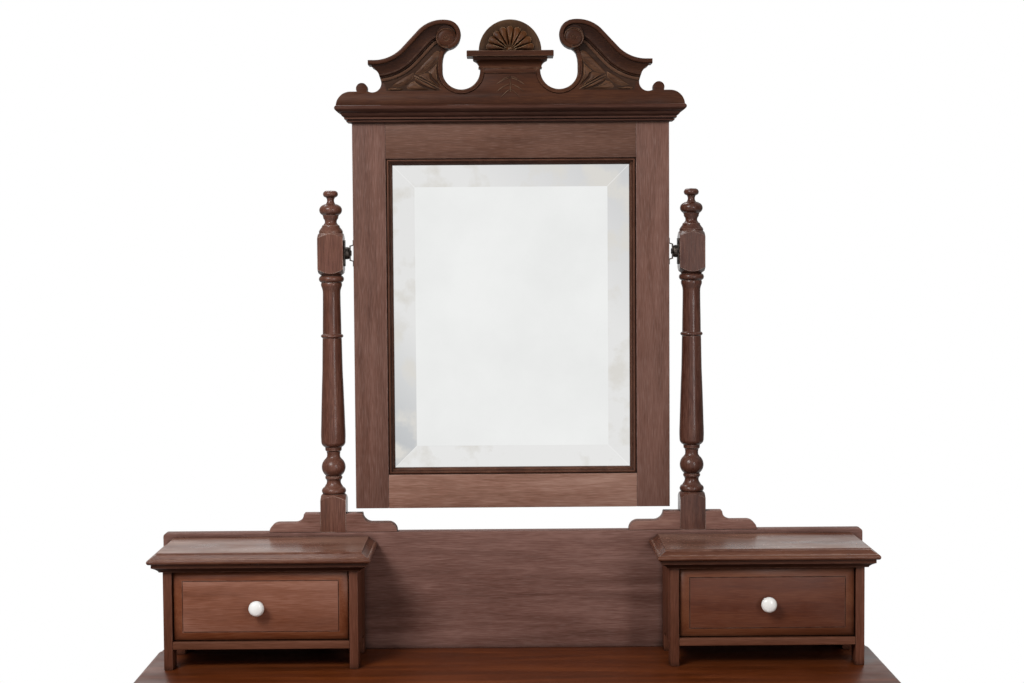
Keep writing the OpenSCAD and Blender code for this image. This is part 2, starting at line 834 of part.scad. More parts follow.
module jewel_knob(side) {
    for_side(side)
        knob((jewel_x0 + jewel_x1) / 2 - (side < 0 ? knob_off : 0), box_y, (jewel_z0 + jewel_z1) / 2);
}

module left_jewel_front() { jewel_front(-1); }
module left_jewel_sides() { jewel_sides(-1); }
module left_jewel_bottom() { jewel_bottom(-1); }
module left_jewel_knob() { jewel_knob(-1); }
module right_jewel_front() { jewel_front(1); }
module right_jewel_sides() { jewel_sides(1); }
module right_jewel_bottom() { jewel_bottom(1); }
module right_jewel_knob() { jewel_knob(1); }

// Places of the left frieze drawer
frieze_x0 = -leg_inner_x + drawer_gap;
frieze_x1 = -upright_w / 2 - drawer_gap;
frieze_z0 = drawer_low + run_gap;
frieze_z1 = drawer_top - drawer_gap;
frieze_y0 = rail_y + frieze_front_t;
frieze_y1 = strip_y1 - drawer_behind;

module frieze_front(side) {
    color("#6a3b28")
        for_side(side)
            fielded_board(frieze_x0, frieze_x1, frieze_z0 + drawer_gap - run_gap, frieze_z1, rail_y,
                frieze_front_t, border_side, border_long, border_drop, field_step);
}

module frieze_sides(side) {
    color("#8a6748")
        for_side(side)
            drawer_sides(frieze_x0, frieze_x1, frieze_y0, frieze_y1, frieze_z0, frieze_z1 - side_low,
                frieze_side_t);
}

module frieze_bottom(side) {
    color("#8f6c4c")
        for_side(side)
            drawer_bottom(frieze_x0, frieze_x1, frieze_y0, frieze_y1, frieze_z0, frieze_side_t);
}

module frieze_knobs(side) {
    for_side(side)
        for (k = [-1, 1])
            knob((frieze_x0 + frieze_x1) / 2 + k * knob_spread, rail_y, (frieze_z0 + frieze_z1) / 2);
}

module left_frieze_front() { frieze_front(-1); }
module left_frieze_sides() { frieze_sides(-1); }
module left_frieze_bottom() { frieze_bottom(-1); }
module left_frieze_knobs() { frieze_knobs(-1); }
module right_frieze_front() { frieze_front(1); }
module right_frieze_sides() { frieze_sides(1); }
module right_frieze_bottom() { frieze_bottom(1); }
module right_frieze_knobs() { frieze_knobs(1); }

// Pivots: a plate with a domed boss on each post, and a strap on the frame

plate_x = post_x - post_sq / 2;
boss_x = plate_x - plate_t - boss_h;
strap_x = boss_x - strap_gap;

module for_both() {
    for (s = [0, 1])
        mirror([s, 0, 0])
            children();
}

module pivot_plates() {
    color("#2b2724")
        for_both() {
            block(plate_x - plate_t, plate_x, axis_y - plate_w / 2, axis_y + plate_w / 2,
                pivot_z - plate_h / 2, pivot_z + plate_h / 2);
            translate([plate_x - plate_t, axis_y, pivot_z])
                rotate([0, -90, 0])
                    rotate_extrude()
                        polygon(concat([[0, -plate_t / 2], [boss_r, -plate_t / 2]],
                            arc(boss_r - boss_h * 0.6, boss_h * 0.4, boss_h * 0.6, 0, 90, 5),
                            [[0, boss_h]]));
        }
}

// A pin with a head on its inner end
module pivot_pins() {
    head_x = strap_x - strap_t - strap_gap - pin_head_t;
    color("#3a3532")
        for_both()
            translate([head_x, axis_y, pivot_z])
                rotate([0, 90, 0])
                    rotate_extrude()
                        polygon([[0, 0], [pin_head_r - 0.4, 0], [pin_head_r, 0.4], [pin_head_r, pin_head_t],
                            [pin_r, pin_head_t], [pin_r, boss_x - head_x], [0, boss_x - head_x]]);
}

// A bent strap that bridges the gap: two feet on the edge of the frame, two arms, and a web in
// front of the boss with a hole for the pin
module pivot_straps() {
    x = mirror_w / 2;
    foot = strap_half + strap_t + strap_foot;
    near = strap_half - 1.5;
    color("#332e2a")
        for_both()
            difference() {
                translate([0, 0, pivot_z])
                    upright_at(axis_y + strap_w / 2)
                        linear_extrude(strap_w)
                            polygon([[x, foot], [x + strap_t, foot], [x + strap_t, strap_half + strap_t],
                                [strap_x, near + strap_t], [strap_x, -near - strap_t],
                                [x + strap_t, -strap_half - strap_t], [x + strap_t, -foot], [x, -foot],
                                [x, -strap_half], [strap_x - strap_t, -near], [strap_x - strap_t, near],
                                [x, strap_half]]);
                translate([strap_x - strap_t - over, axis_y, pivot_z])
                    rotate([0, 90, 0])
                        cylinder(r = pin_r + pin_clear, h = strap_t + 2 * over);
            }
}

// Mirror frame

inner_half = mirror_w / 2 - stile_w;
inner_low = frame_low + frame_low_rail;
inner_top = frame_top - frame_top_rail;
glass_half = inner_half - sight_w + glass_lap;
glass_low = inner_low + sight_w - glass_lap;
glass_top = inner_top - sight_w + glass_lap;
glass_edge_y = frame_y + frame_t - back_t - glass_t + bevel_drop;

module rail_tongues(grow = 0) {
    y = frame_y + frame_t / 2 - rail_tenon_t / 2;
    for (z = [[frame_low + 8, inner_low - 8], [inner_top + 8, frame_top - 8]])
        block(-inner_half - rail_tenon - grow, inner_half + rail_tenon + grow, y - grow,
            y + rail_tenon_t + grow, z[0] - grow, z[1] + grow);
}

module stile(side) {
    color("#62413a")
        for_side(side)
            difference() {
                block(-mirror_w / 2, -inner_half, frame_y, frame_y + frame_t, frame_low, frame_top);
                rail_tongues(tenon_clear);
            }
}

module left_stile() { stile(-1); }
module right_stile() { stile(1); }

module mirror_top_rail() {
    color("#654239") {
        block(-inner_half, inner_half, frame_y, frame_y + frame_t, inner_top, frame_top);
        intersection() {
            rail_tongues();
            block(-far, far, -far, far, inner_top, frame_top);
        }
    }
}

module mirror_low_rail() {
    color("#6b4638") {
        block(-inner_half, inner_half, frame_y, frame_y + frame_t, frame_low, inner_low);
        intersection() {
            rail_tongues();
            block(-far, far, -far, far, frame_low, inner_low);
        }
    }
}

// Bead and hollow round the glass, in four mitred strips
module sight_moulding() {
    t = glass_edge_y - frame_y - sight_set - glass_lap * bevel_drop / bevel_w - joint_gap;
    bead = sight_w * 0.22;
    shape = concat([[0, t], [0, bead]], arc(bead, bead, bead, 180, 360, 6),
        [[sight_w * 0.5, bead + 1]], arc(sight_w * 0.5 + 4, bead + 1, 4, 180, 90, 4),
        [[sight_w, bead + 5.5], [sight_w, t]]);
    color("#5a3c30")
        mitred_strips(inner_half, inner_low, inner_top, frame_y + sight_set, shape);
}

module mirror_glass() {
    color("#dfe3e3")
        fielded_board(-glass_half, glass_half, glass_low, glass_top, glass_edge_y - bevel_drop,
            glass_t, bevel_w, bevel_w, bevel_drop, 0);
}

// Strips behind the edges of the glass, between it and the back board
module glass_fillets() {
    y0 = glass_edge_y - bevel_drop + glass_t;
    t = frame_y + frame_t - y0;
    color("#8f6c4c")
        mitred_strips(inner_half, inner_low, inner_top, y0, [[0, 0], [sight_w, 0], [sight_w, t], [0, t]]);
}

module mirror_back() {
    y = frame_y + frame_t;
    color("#7d5b42")
        block(-inner_half - back_lap, inner_half + back_lap, y, y + back_t, inner_low - back_lap,
            inner_top + back_lap);
}

// Cornice and pediment

module cornice() {
    nose_r = cornice_nose / 2;
    w = cornice_out / 24;
    h = (cornice_h - cornice_nose) / 17.5;
    edge = concat([for (p = [[0, 0], [3.6, 0], [4.4, 1.2], [6.8, 1.7], [7.6, 3.1], [6.8, 4.5], [6, 5], [9.4, 5.2],
            [11.5, 6.2], [13.2, 7.9], [14.6, 10.4], [15.5, 13], [15.8, 14.3], [17.6, 14.6], [19.6, 15.6],
            [21.2, 17]]) [p[0] * w, p[1] * h]],
        arc(cornice_out - nose_r, cornice_h - nose_r, nose_r, -52, 90, 6));
    color("#5b3d34")
        moulded_board(-mirror_w / 2, mirror_w / 2, frame_y, frame_y + frame_t, frame_top, edge);
}

// Layout of one swan neck, seen from the front, as (distance from the middle, height)
ped_half = mirror_w / 2 + cornice_out;
notch_x = pedestal_half + notch_r;
neck_end = ped_half - 49.5;
head_a = 100;
roll_end = 262;
neck_x1 = notch_x + head_r + 5.1;
neck_x2 = neck_end - 9;
neck_rise = scroll_h - neck_end_h;
neck_sum = neck_curved * ((neck_x2 - neck_x1) * (neck_x2 - neck_x1) / neck_rise + neck_rise) / 2;
neck_r1 = neck_upper * neck_sum;
neck_r2 = neck_sum - neck_r1;
c1 = [neck_x1, scroll_h - neck_r1];
c2 = [neck_x2, neck_end_h + neck_r2];
gap_c = c2 - c1;
meet_a = atan2(gap_c[1], gap_c[0]) + acos((neck_r1 + neck_r2) / norm(gap_c));
head_c = c1 + (neck_r1 - head_r) * [cos(head_a), sin(head_a)];
bend_1 = c1 + neck_r1 * [cos(meet_a), sin(meet_a)];
bend_2 = c2 - neck_r2 * [cos(meet_a), sin(meet_a)];
hollow_c = [neck_end - 5.3, ped_base_h - 1.5 + hollow_r];
ped_y = frame_y + 1;

// Steps of the hollow moulding on the necks: [share of its width, share of its thickness,
// distance its returned end stands back]
neck_steps = [[0.27, 1, 0], [0.45, 0.76, 5.8], [0.56, 0.62, 8.4], [0.68, 0.52, 11.4], [0.8, 0.45, 14],
    [0.92, 0.46, 16.3], [1, 0.3, 17.9]];
// The returned end of the neck, from its top corner down to one step. The step's own corner is
// left out where it stands back past the start of the lower curve.
function neck_end_points(share) = concat([[neck_end, neck_end_h]],
    [for (q = neck_steps) if (q[0] < share || (q[0] == share && q[2] < neck_end - neck_x2))
        [neck_end - q[2], neck_end_h - neck_w * q[0]]]);

module ped_place(side) {
    for_side(side)
        translate([0, 0, cornice_top])
            upright_at(ped_y)
                mirror([1, 0, 0])
                    children();
}

// Outer side of the round openings, from their widest place up to the scroll head
opening_side = [[0.995, 0.15], [0.999, 0.35], [0.97, 0.6], [0.9, 0.83], [0.78, 0.97]];

// Half of the board's outline, from the middle outwards
module ped_outline() {
    end_r = ped_base_h;
    difference() {
        polygon(concat([[0, 0], [0, pedestal_h], [pedestal_half + 0.5, pedestal_h],
            [pedestal_half + 0.5, notch_h], [notch_x + notch_r - 1, notch_h]],
            [for (p = opening_side) [notch_x + p[0] * notch_r, notch_h + p[1] * (head_c[1] - head_r - notch_h)]],
            arc(head_c[0], head_c[1], head_r - 1, 262, 100, 12),
            arc(c1[0], c1[1], neck_r1, 100, meet_a, 8),
            arc(c2[0], c2[1], neck_r2, meet_a + 180, 270, 8),
            neck_end_points(1),
            arc(hollow_c[0], hollow_c[1], hollow_r, 153, 296, 10),
            arc(ped_half - 39, end_r + end_ball_r / 2, end_ball_r, 210, -30, 12),
            [[ped_half, end_r], [ped_half, 0]]));
        translate([notch_x, notch_h])
            circle(notch_r);
        translate([ped_half - end_r, 0])
            difference() {
                square(end_r + over);
                circle(end_r);
            }
    }
}

module pediment_board() {
    color("#4e2f20")
        translate([0, 0, cornice_top])
            upright_at(ped_y + ped_t)
                linear_extrude(ped_t)
                    for (s = [0, 1])
                        mirror([s, 0])
                            ped_outline();
}

// Place of the turned boss in the scroll head
roundel_c = head_c + [0, -5.3];
roundel_gap = 0.1;

// One step of the moulding as a flat band under the curved top edge of the neck;
// the first step also rolls round the scroll head
module neck_band(step, rolls) {
    w = neck_w * step[0];
    end_a = 270 - asin(max(0, neck_x2 - neck_end + step[2]) / (neck_r2 + w));
    difference() {
        polygon(concat(rolls ? arc(head_c[0], head_c[1], head_r, roll_end, head_a, 12) : [],
            arc(c1[0], c1[1], neck_r1, head_a, meet_a, 8),
            arc(c2[0], c2[1], neck_r2, meet_a + 180, 270, 8),
            neck_end_points(step[0]),
            arc(c2[0], c2[1], neck_r2 + w, end_a, meet_a + 180, 8),
            arc(c1[0], c1[1], neck_r1 - w, meet_a, rolls ? head_a : head_a - 1, 8),
            rolls ? arc(head_c[0], head_c[1], head_r - w, head_a, roll_end, 12) : []));
        translate(roundel_c)
            circle(roundel_r + roundel_gap);
    }
}

module swan_neck(side) {
    color("#3f2519")
        ped_place(side)
            for (p = neck_steps)
                linear_extrude(neck_t * p[1])
                    neck_band(p, p[1] == 1);
}

module left_swan_neck() { swan_neck(-1); }
module right_swan_neck() { swan_neck(1); }

module scroll_roundels() {
    color("#4a2c20")
        for (side = [-1, 1])
            ped_place(side)
                translate([roundel_c[0], roundel_c[1], 0])
                    rotate_extrude()
                        polygon([[0, 0], [roundel_r, 0], [roundel_r, neck_t - 2.5],
                            [roundel_r - 1, neck_t - 1.5], [roundel_r * 0.72, neck_t - 1],
                            [roundel_r * 0.7, neck_t - 2], [roundel_r * 0.66, neck_t - 1],
                            [roundel_r * 0.2, neck_t - 1.8], [roundel_r * 0.16, neck_t - 0.6], [0, neck_t - 0.4]]);
}

cap_z = cornice_top + pedestal_h;
cap_top = cap_z + cap_cove + cap_shelf;

module pedestal_cap() {
    w = cap_out / 18.5;
    h = cap_cove / 16.2;
    edge = concat([for (p = [[0, 0], [1.6, 0], [2, 1.2], [1.5, 2.4], [0.9, 3], [1.2, 5], [2.2, 7], [3.8, 9],
            [5.8, 10.4], [8, 11.2], [9.2, 11.4], [9.6, 16.2]]) [p[0] * w, p[1] * h]],
        [[cap_out - 0.5, cap_cove], [cap_out, cap_cove + 0.5], [cap_out, cap_cove + cap_shelf - 1],
            [cap_out - 1, cap_cove + cap_shelf]]);
    color("#4a2c20")
        moulded_board(-pedestal_half - 1, pedestal_half + 1, ped_y, ped_y + ped_t, cap_z, edge);
}

// Half-round crest with a raised rim and radiating petals
module fan_crest() {
    rim = 4;
    petal_l = fan_r - rim - 12;
    petal_r = petal_l * 3.14 / fan_petals / 2;
    color("#6b4a22")
        translate([0, 0, cap_top])
            upright_at(ped_y + fan_t - 4)
                intersection() {
                    union() {
                        cylinder(r = fan_r, h = fan_t);
                        difference() {
                            cylinder(r = fan_r, h = fan_t + 2);
                            translate([0, 0, fan_t - over])
                                cylinder(r = fan_r - rim, h = 2 * over + 2);
                        }
                        cylinder(r = 7, h = fan_t + 2);
                        for (i = [0:fan_petals - 1])
                            rotate([0, 0, (i + 0.5) * 180 / fan_petals])
                                translate([6, 0, fan_t - petal_r + 2])
                                    rotate([0, 90, 0])
                                        cylinder(r1 = 1, r2 = petal_r, h = petal_l);
                    }
                    translate([-fan_r - over, 0, 0])
                        cube([2 * fan_r + 2 * over, fan_r + over, fan_t + over + over]);
                }
}

front_left_leg();
front_right_leg();
back_left_leg();
back_right_leg();
end_aprons();
back_apron();
front_rails();
drawer_upright();
drawer_runners();
drawer_kickers();
table_top();
backboard();
left_post_wings();
right_post_wings();
left_post();
right_post();
back_screws();
left_box_lid();
left_box_moulding();
left_box_ends();
left_box_floor();
right_box_lid();
right_box_moulding();
right_box_ends();
right_box_floor();
pivot_plates();
pivot_pins();
left_stile();
right_stile();
mirror_top_rail();
mirror_low_rail();
sight_moulding();
mirror_glass();
glass_fillets();
mirror_back();
pivot_straps();
cornice();
pediment_board();
left_swan_neck();
right_swan_neck();
scroll_roundels();
pedestal_cap();
fan_crest();
left_jewel_front();
left_jewel_sides();
left_jewel_bottom();
left_jewel_knob();
right_jewel_front();
right_jewel_sides();
right_jewel_bottom();
right_jewel_knob();
left_frieze_front();
left_frieze_sides();
left_frieze_bottom();
left_frieze_knobs();
right_frieze_front();
right_frieze_sides();
right_frieze_bottom();
right_frieze_knobs();
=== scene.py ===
import math
import bpy
from mathutils import Matrix, Vector


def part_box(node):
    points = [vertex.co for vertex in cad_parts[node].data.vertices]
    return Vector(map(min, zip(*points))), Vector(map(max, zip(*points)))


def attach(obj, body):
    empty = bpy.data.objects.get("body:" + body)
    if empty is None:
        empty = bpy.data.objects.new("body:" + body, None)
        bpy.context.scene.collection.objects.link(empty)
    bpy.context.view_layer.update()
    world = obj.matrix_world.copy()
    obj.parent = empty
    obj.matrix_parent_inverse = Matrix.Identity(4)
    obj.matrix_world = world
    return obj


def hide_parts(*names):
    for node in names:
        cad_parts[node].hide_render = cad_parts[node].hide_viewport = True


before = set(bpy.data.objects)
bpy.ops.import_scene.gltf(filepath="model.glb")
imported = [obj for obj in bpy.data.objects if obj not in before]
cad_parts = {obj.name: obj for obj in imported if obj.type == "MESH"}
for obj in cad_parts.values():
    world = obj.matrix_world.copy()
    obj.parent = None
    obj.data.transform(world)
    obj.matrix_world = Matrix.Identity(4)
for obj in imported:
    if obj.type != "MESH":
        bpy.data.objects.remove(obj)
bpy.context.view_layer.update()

# Legs
# Four turned legs of walnut-coloured hardwood, each left square at the top where the aprons and
# rails are mortised in. They are turned from one square stick and polished with the table.


def mm(value):
    """Millimetres in Blender's metres."""
    return value / 1000.0


def bend(cx, cy, r, a0, a1, n=10):
    """Points of an arc, in millimetres, from one angle to another."""
    turn = [math.radians(a0 + (a1 - a0) * i / n) for i in range(n + 1)]
    return [(cx + r * math.cos(a), cy + r * math.sin(a)) for a in turn]


def start_piece(name, add, **size):
    """Adds one primitive with nothing else selected and opens it for editing."""
    bpy.ops.object.select_all(action="DESELECT")
    add(**size)
    piece = bpy.context.object
    piece.name = piece.data.name = name
    bpy.ops.object.mode_set(mode="EDIT")
    bpy.ops.mesh.select_all(action="SELECT")
    return piece


def close_piece(piece, smooth=32, soften=0.0, segments=2):
    """Merges doubles, faces everything outwards, eases the edges and settles the mesh at the origin."""
    bpy.ops.mesh.select_all(action="SELECT")
    bpy.ops.mesh.remove_doubles(threshold=0.00001)
    bpy.ops.mesh.normals_make_consistent(inside=False)
    bpy.ops.object.mode_set(mode="OBJECT")
    bpy.ops.object.transform_apply(location=True, rotation=True, scale=True)
    if soften:
        ease = piece.modifiers.new("eased edges", "BEVEL")
        ease.width = mm(soften)
        ease.segments = segments
        ease.limit_method = "ANGLE"
        ease.angle_limit = math.radians(40)
        ease.use_clamp_overlap = True
        bpy.ops.object.modifier_apply(modifier=ease.name)
    bpy.ops.object.shade_smooth_by_angle(angle=math.radians(smooth))
    return piece


def draw_out(x, y, z):
    """Extrudes what is selected and moves it by millimetres."""
    bpy.ops.mesh.extrude_region_move(TRANSFORM_OT_translate={"value": (mm(x), mm(y), mm(z))})


def turned(name, x, y, rings, steps=64):
    """Turns a piece about an upright axis from (radius, height) rings in millimetres."""
    r, z = rings[0]
    piece = start_piece(name, bpy.ops.mesh.primitive_circle_add, vertices=steps, radius=mm(r),
                        fill_type="NGON", location=(mm(x), mm(y), mm(z)))
    for r2, z2 in rings[1:]:
        draw_out(0, 0, z2 - z)
        bpy.ops.transform.resize(value=(r2 / r, r2 / r, 1), center_override=(mm(x), mm(y), mm(z2)))
        r, z = r2, z2
    return piece


def saw(piece, tool, operation="DIFFERENCE"):
    """Cuts a piece with another shape, which is then thrown away."""
    cut = piece.modifiers.new("cut", "BOOLEAN")
    cut.operation = operation
    cut.solver = "EXACT"
    cut.object = tool
    bpy.ops.object.select_all(action="DESELECT")
    piece.select_set(True)
    bpy.context.view_layer.objects.active = piece
    bpy.ops.object.modifier_apply(modifier=cut.name)
    bpy.data.objects.remove(tool)


def keep_square(piece, x0, x1, y0, y1, z0, z1, operation="INTERSECT"):
    """Planes a turned piece down to its square stock, or saws a block out of it."""
    bpy.ops.object.select_all(action="DESELECT")
    bpy.ops.mesh.primitive_cube_add(size=1, location=(mm(x0 + x1) / 2, mm(y0 + y1) / 2, mm(z0 + z1) / 2))
    stock = bpy.context.object
    bpy.ops.transform.resize(value=(mm(x1 - x0), mm(y1 - y0), mm(z1 - z0)))
    saw(piece, stock, operation)


def another(piece, name, dx=0.0, dy=0.0, flip=False):
    """A second copy of a piece with its own mesh, moved along or turned into its mirror image."""
    twin = piece.copy()
    twin.data = piece.data.copy()
    twin.name = twin.data.name = name
    bpy.context.scene.collection.objects.link(twin)
    bpy.ops.object.select_all(action="DESELECT")
    twin.select_set(True)
    bpy.context.view_layer.objects.active = twin
    bpy.ops.object.mode_set(mode="EDIT")
    bpy.ops.mesh.select_all(action="SELECT")
    if flip:
        bpy.ops.transform.resize(value=(-1, 1, 1), center_override=(0, 0, 0))
        bpy.ops.mesh.normals_make_consistent(inside=False)
    if dx or dy:
        bpy.ops.transform.translate(value=(mm(dx), mm(dy), 0))
    bpy.ops.object.mode_set(mode="OBJECT")
    return twin


def srgb(*rgb):
    """A colour as it is seen, 0 to 255, as a linear colour."""
    return tuple(((v / 255 + 0.055) / 1.055) ** 2.4 if v > 10 else v / 255 / 12.92 for v in rgb) + (1.0,)


def add_step(tree, kind, inputs, **traits):
    """Adds one shader node. Its inputs are fed from other nodes' sockets or set to plain values."""
    step = tree.nodes.new("ShaderNode" + kind)
    for trait, value in traits.items():
        setattr(step, trait, value)
    for key, value in inputs.items():
        if isinstance(value, bpy.types.NodeSocket):
            tree.links.new(value, step.inputs[key])
        else:
            step.inputs[key].default_value = value
    return step


def reckon(tree, operation, a, b=0.0):
    """One sum between sockets or plain numbers."""
    return add_step(tree, "Math", {0: a, 1: b}, operation=operation).outputs[0]


def ramp_up(tree, value, low, high, start=0.0, end=1.0):
    """Runs from a start to an end while the value goes from low to high."""
    return add_step(tree, "MapRange", {"Value": value, "From Min": low, "From Max": high,
                                       "To Min": start, "To Max": end}).outputs["Result"]


def clouds(tree, where, scale, detail, rough=0.5, twist=0.0):
    """Soft uneven patches."""
    return add_step(tree, "TexNoise", {"Vector": where, "Scale": scale, "Detail": detail, "Roughness": rough,
                                       "Distortion": twist}).outputs["Fac"]


def stretched(tree, where, by):
    """Draws a pattern out along an axis."""
    return add_step(tree, "VectorMath", {0: where, 1: by}, operation="MULTIPLY").outputs[0]


def toned(tree, value, low, high, middle=None):
    """Turns a value into colours, from (place, colour) at the low end to the high end."""
    step = add_step(tree, "ValToRGB", {"Fac": value})
    for element, (place, colour) in zip(step.color_ramp.elements, (low, high)):
        element.position, element.color = place, srgb(*colour)
    if middle:
        step.color_ramp.elements.new(middle[0]).color = srgb(*middle[1])
    return step.outputs["Color"]


def laid_over(tree, under, colour, mask):
    """Lays a colour over another where the mask shows it."""
    return add_step(tree, "Mix", {"Factor": mask, "A": under, "B": colour}, data_type="RGBA").outputs["Result"]


def start_finish(name):
    """A new finish with its node tree, its shader and its place on the piece."""
    finish = bpy.data.materials.new(name)
    finish.use_nodes = True
    tree = finish.node_tree
    return finish, tree, tree.nodes["Principled BSDF"], add_step(tree, "TexCoord", {}).outputs["Object"]


def give(tree, shader, **looks):
    """Sets the shader's inputs, whose names have _ for a space, from sockets or plain values."""
    for name, value in looks.items():
        socket = shader.inputs[name.replace("_", " ")]
        if isinstance(value, bpy.types.NodeSocket):
            tree.links.new(value, socket)
        else:
            socket.default_value = value


def start_group(name, wants, gives):
    """A new node group with its inputs and outputs, kept ready to be filled."""
    tree = bpy.data.node_groups.new(name, "ShaderNodeTree")
    for socket in wants:
        tree.interface.new_socket(socket, in_out="INPUT", socket_type="NodeSocketVector")
    for socket in gives:
        tree.interface.new_socket(socket, in_out="OUTPUT", socket_type="NodeSocketFloat")
    return tree, tree.nodes.new("NodeGroupInput"), tree.nodes.new("NodeGroupOutput")


def timber_group():
    """Figure, streaks and open pores of a plain hardwood whose grain runs along the third axis."""
    tree, into, out = start_group("timber_grain", ["Along grain"], ["Figure", "Streaks", "Pores", "Polish"])
    for name, by, scale, detail, rough, twist, low, high in (
            ("Figure", 0.1, 34, 3.0, 0.55, 0.5, 0.25, 0.75), ("Streaks", 0.05, 860, 2.0, 0.55, 0.1, 0.2, 0.8),
            ("Pores", 0.05, 1100, 1.5, 0.5, 0.0, 0.52, 0.74), ("Polish", 0.6, 20, 3.0, 0.6, 0.0, 0.3, 0.7)):
        run = stretched(tree, into.outputs["Along grain"], (1, 1, by))
        tree.links.new(ramp_up(tree, clouds(tree, run, scale, detail, rough, twist), low, high), out.inputs[name])
    return tree


def wear_and_painted_light_group():
    """Arrises paler, partly rubbed by hands and partly a painted highlight; painted shade darkening corners,
    crevices and faces turned down; painted sheen paling faces turned up.
    """
    tree, _, out = start_group("rubbed_edges", [], ["Rubbed", "Crevice", "Underside", "Topside"])
    where = add_step(tree, "TexCoord", {})
    eased = add_step(tree, "Bevel", {"Radius": mm(1.6)}, samples=4)
    surface = add_step(tree, "NewGeometry", {})
    turn = add_step(tree, "VectorMath", {0: eased.outputs["Normal"], 1: surface.outputs["Normal"]},
                    operation="DOT_PRODUCT")
    # Pale arrises: partly rubbed wear, partly a painted highlight for light caught on rounded edges.
    edge = ramp_up(tree, turn.outputs["Value"], 0.985, 0.88)
    patch = ramp_up(tree, clouds(tree, where.outputs["Object"], 70, 4), 0.36, 0.6)
    # Painted shade: occlusion darkens corners, hollows and the joins between pieces.
    closed = add_step(tree, "AmbientOcclusion", {"Distance": mm(12)}, samples=6)
    # Patches of a painted sheen that pales faces turned up.
    painted_sheen_patches = clouds(tree, stretched(tree, where.outputs["Object"], (0.3, 1, 1)), 16, 5)
    # Faces turned down get painted shade; faces turned up get a painted sheen.
    facing = add_step(tree, "SeparateXYZ", {"Vector": where.outputs["Normal"]}).outputs["Z"]
    for name, mask in (("Rubbed", reckon(tree, "MULTIPLY", edge, patch)),
                       ("Crevice", ramp_up(tree, closed.outputs["AO"], 0.8, 0.25)),
                       ("Underside", ramp_up(tree, facing, -0.12, -0.7)),
                       ("Topside", reckon(tree, "MULTIPLY", ramp_up(tree, facing, 0.9, 0.98),
                                          ramp_up(tree, painted_sheen_patches, 0.34, 0.68)))):
        tree.links.new(mask, out.inputs[name])
    return tree


timber = timber_group()
wear_and_painted_light = wear_and_painted_light_group()
# Dark brown laid over crevices and faces turned down: painted shade.
painted_shade_dark = srgb(20, 11, 8)


def hardwood(name, dark, mid, light, pore, along="Z", place=(0, 0, 0), rough=(0.42, 0.62),
             relief=0.12, sheen=0.12, pore_mix=0.22, streak=0.45, rub=0.4, shade=0.75,
             bloom=0.08, under=0.5, painted_top_sheen=0.0, haze=None):
    """A stained and polished hardwood. The grain runs along X, Y or Z of the piece."""
    wood, tree, shader, where = start_finish(name)
    quarter = math.pi / 2
    turn = {"X": (0, quarter, 0), "Y": (quarter, 0, 0), "Z": (0, 0, 0)}[along]
    laid = add_step(tree, "Mapping", {"Vector": where, "Location": place, "Rotation": turn})
    grain = add_step(tree, "Group", {}, node_tree=timber)
    tree.links.new(laid.outputs["Vector"], grain.inputs["Along grain"])
    wear_and_shading = add_step(tree, "Group", {}, node_tree=wear_and_painted_light)
    figure = add_step(tree, "Mix", {"Factor": streak, "A": grain.outputs["Figure"], "B": grain.outputs["Streaks"]},
                      data_type="FLOAT").outputs["Result"]
    last = toned(tree, figure, (0.12, dark), (0.9, light), (0.5, mid))
    haze, pale = srgb(*(haze or pore)), srgb(*pore)
    # Over the grain: pores and polish haze; painted sheen on tops; pale arrises, worn and painted highlight;
    # painted shade on faces turned down (under) and in crevices (shade).
    for mask, colour, share in ((grain.outputs["Pores"], haze, pore_mix), (grain.outputs["Polish"], haze, bloom),
                                (wear_and_shading.outputs["Topside"], pale, painted_top_sheen), (wear_and_shading.outputs["Rubbed"], pale, rub),
                                (wear_and_shading.outputs["Underside"], painted_shade_dark, under),
                                (wear_and_shading.outputs["Crevice"], painted_shade_dark, shade)):
        last = laid_over(tree, last, colour, reckon(tree, "MULTIPLY", mask, share))
    bump = add_step(tree, "Bump", {"Strength": relief, "Distance": 0.0006, "Height": figure})
    give(tree, shader, Base_Color=last, Roughness=ramp_up(tree, grain.outputs["Polish"], 0, 1, *rough),
         Normal=bump.outputs["Normal"], Specular_IOR_Level=sheen)
    return wood


def finish_with(piece, material):
    """Puts one finish on every face of a piece or CAD node."""
    if not piece.material_slots:
        piece.data.materials.append(material)
    for slot in piece.material_slots:
        slot.material = material


def dress(piece, material, body, slot, *nodes):
    """Finishes a new piece and puts it in place of its CAD nodes."""
    piece.data.materials.clear()
    piece.data.materials.append(material)
    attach(piece, body)
    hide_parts(*nodes)


def dress_both(piece, material, body, slot, node):
    """Finishes a piece of one side and its mirror image on the other side."""
    this, other = ("left", "right") if "left" in piece.name else ("right", "left")
    twin = another(piece, piece.name.replace(this, other), flip=True)
    dress(twin, material, body, slot, node.replace(this, other))
    dress(piece, material, body, slot, node)


leg_wood = hardwood("leg wood", (66, 38, 28), (86, 52, 40), (108, 70, 56), (132, 104, 90))
leg_sq, frieze_low, top_low = 55, 600, 738
leg_block = frieze_low - leg_sq / 4
leg_profile = ([(0.5, 0), (12, 0), (14, 2), (18, 58), (20, 62)] + bend(18, 67, 5, -60, 60, 8)
               + [(15, 74), (15, 77)] + bend(0, 106, 26, -52, 56, 18)
               + [(16, 130), (14, 138)] + bend(-0.5, 190, 26, -52, 20, 14)
               + [(22, 235), (19.5, 310), (18, leg_block - 144), (18, leg_block - 109)]
               + bend(19, leg_block - 104, 4.5, -80, 80, 8)
               + [(18.5, leg_block - 98.5), (19.5, leg_block - 64), (23, leg_block - 38), (20, leg_block - 34)]
               + bend(18.5, leg_block - 18, 8, -70, 70, 10)
               + [(20.5, leg_block - 8), (23.5, leg_block - 2), (39.6, leg_block + 9), (39.6, top_low),
                  (0.5, top_low)])
lo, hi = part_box("front_left_leg")
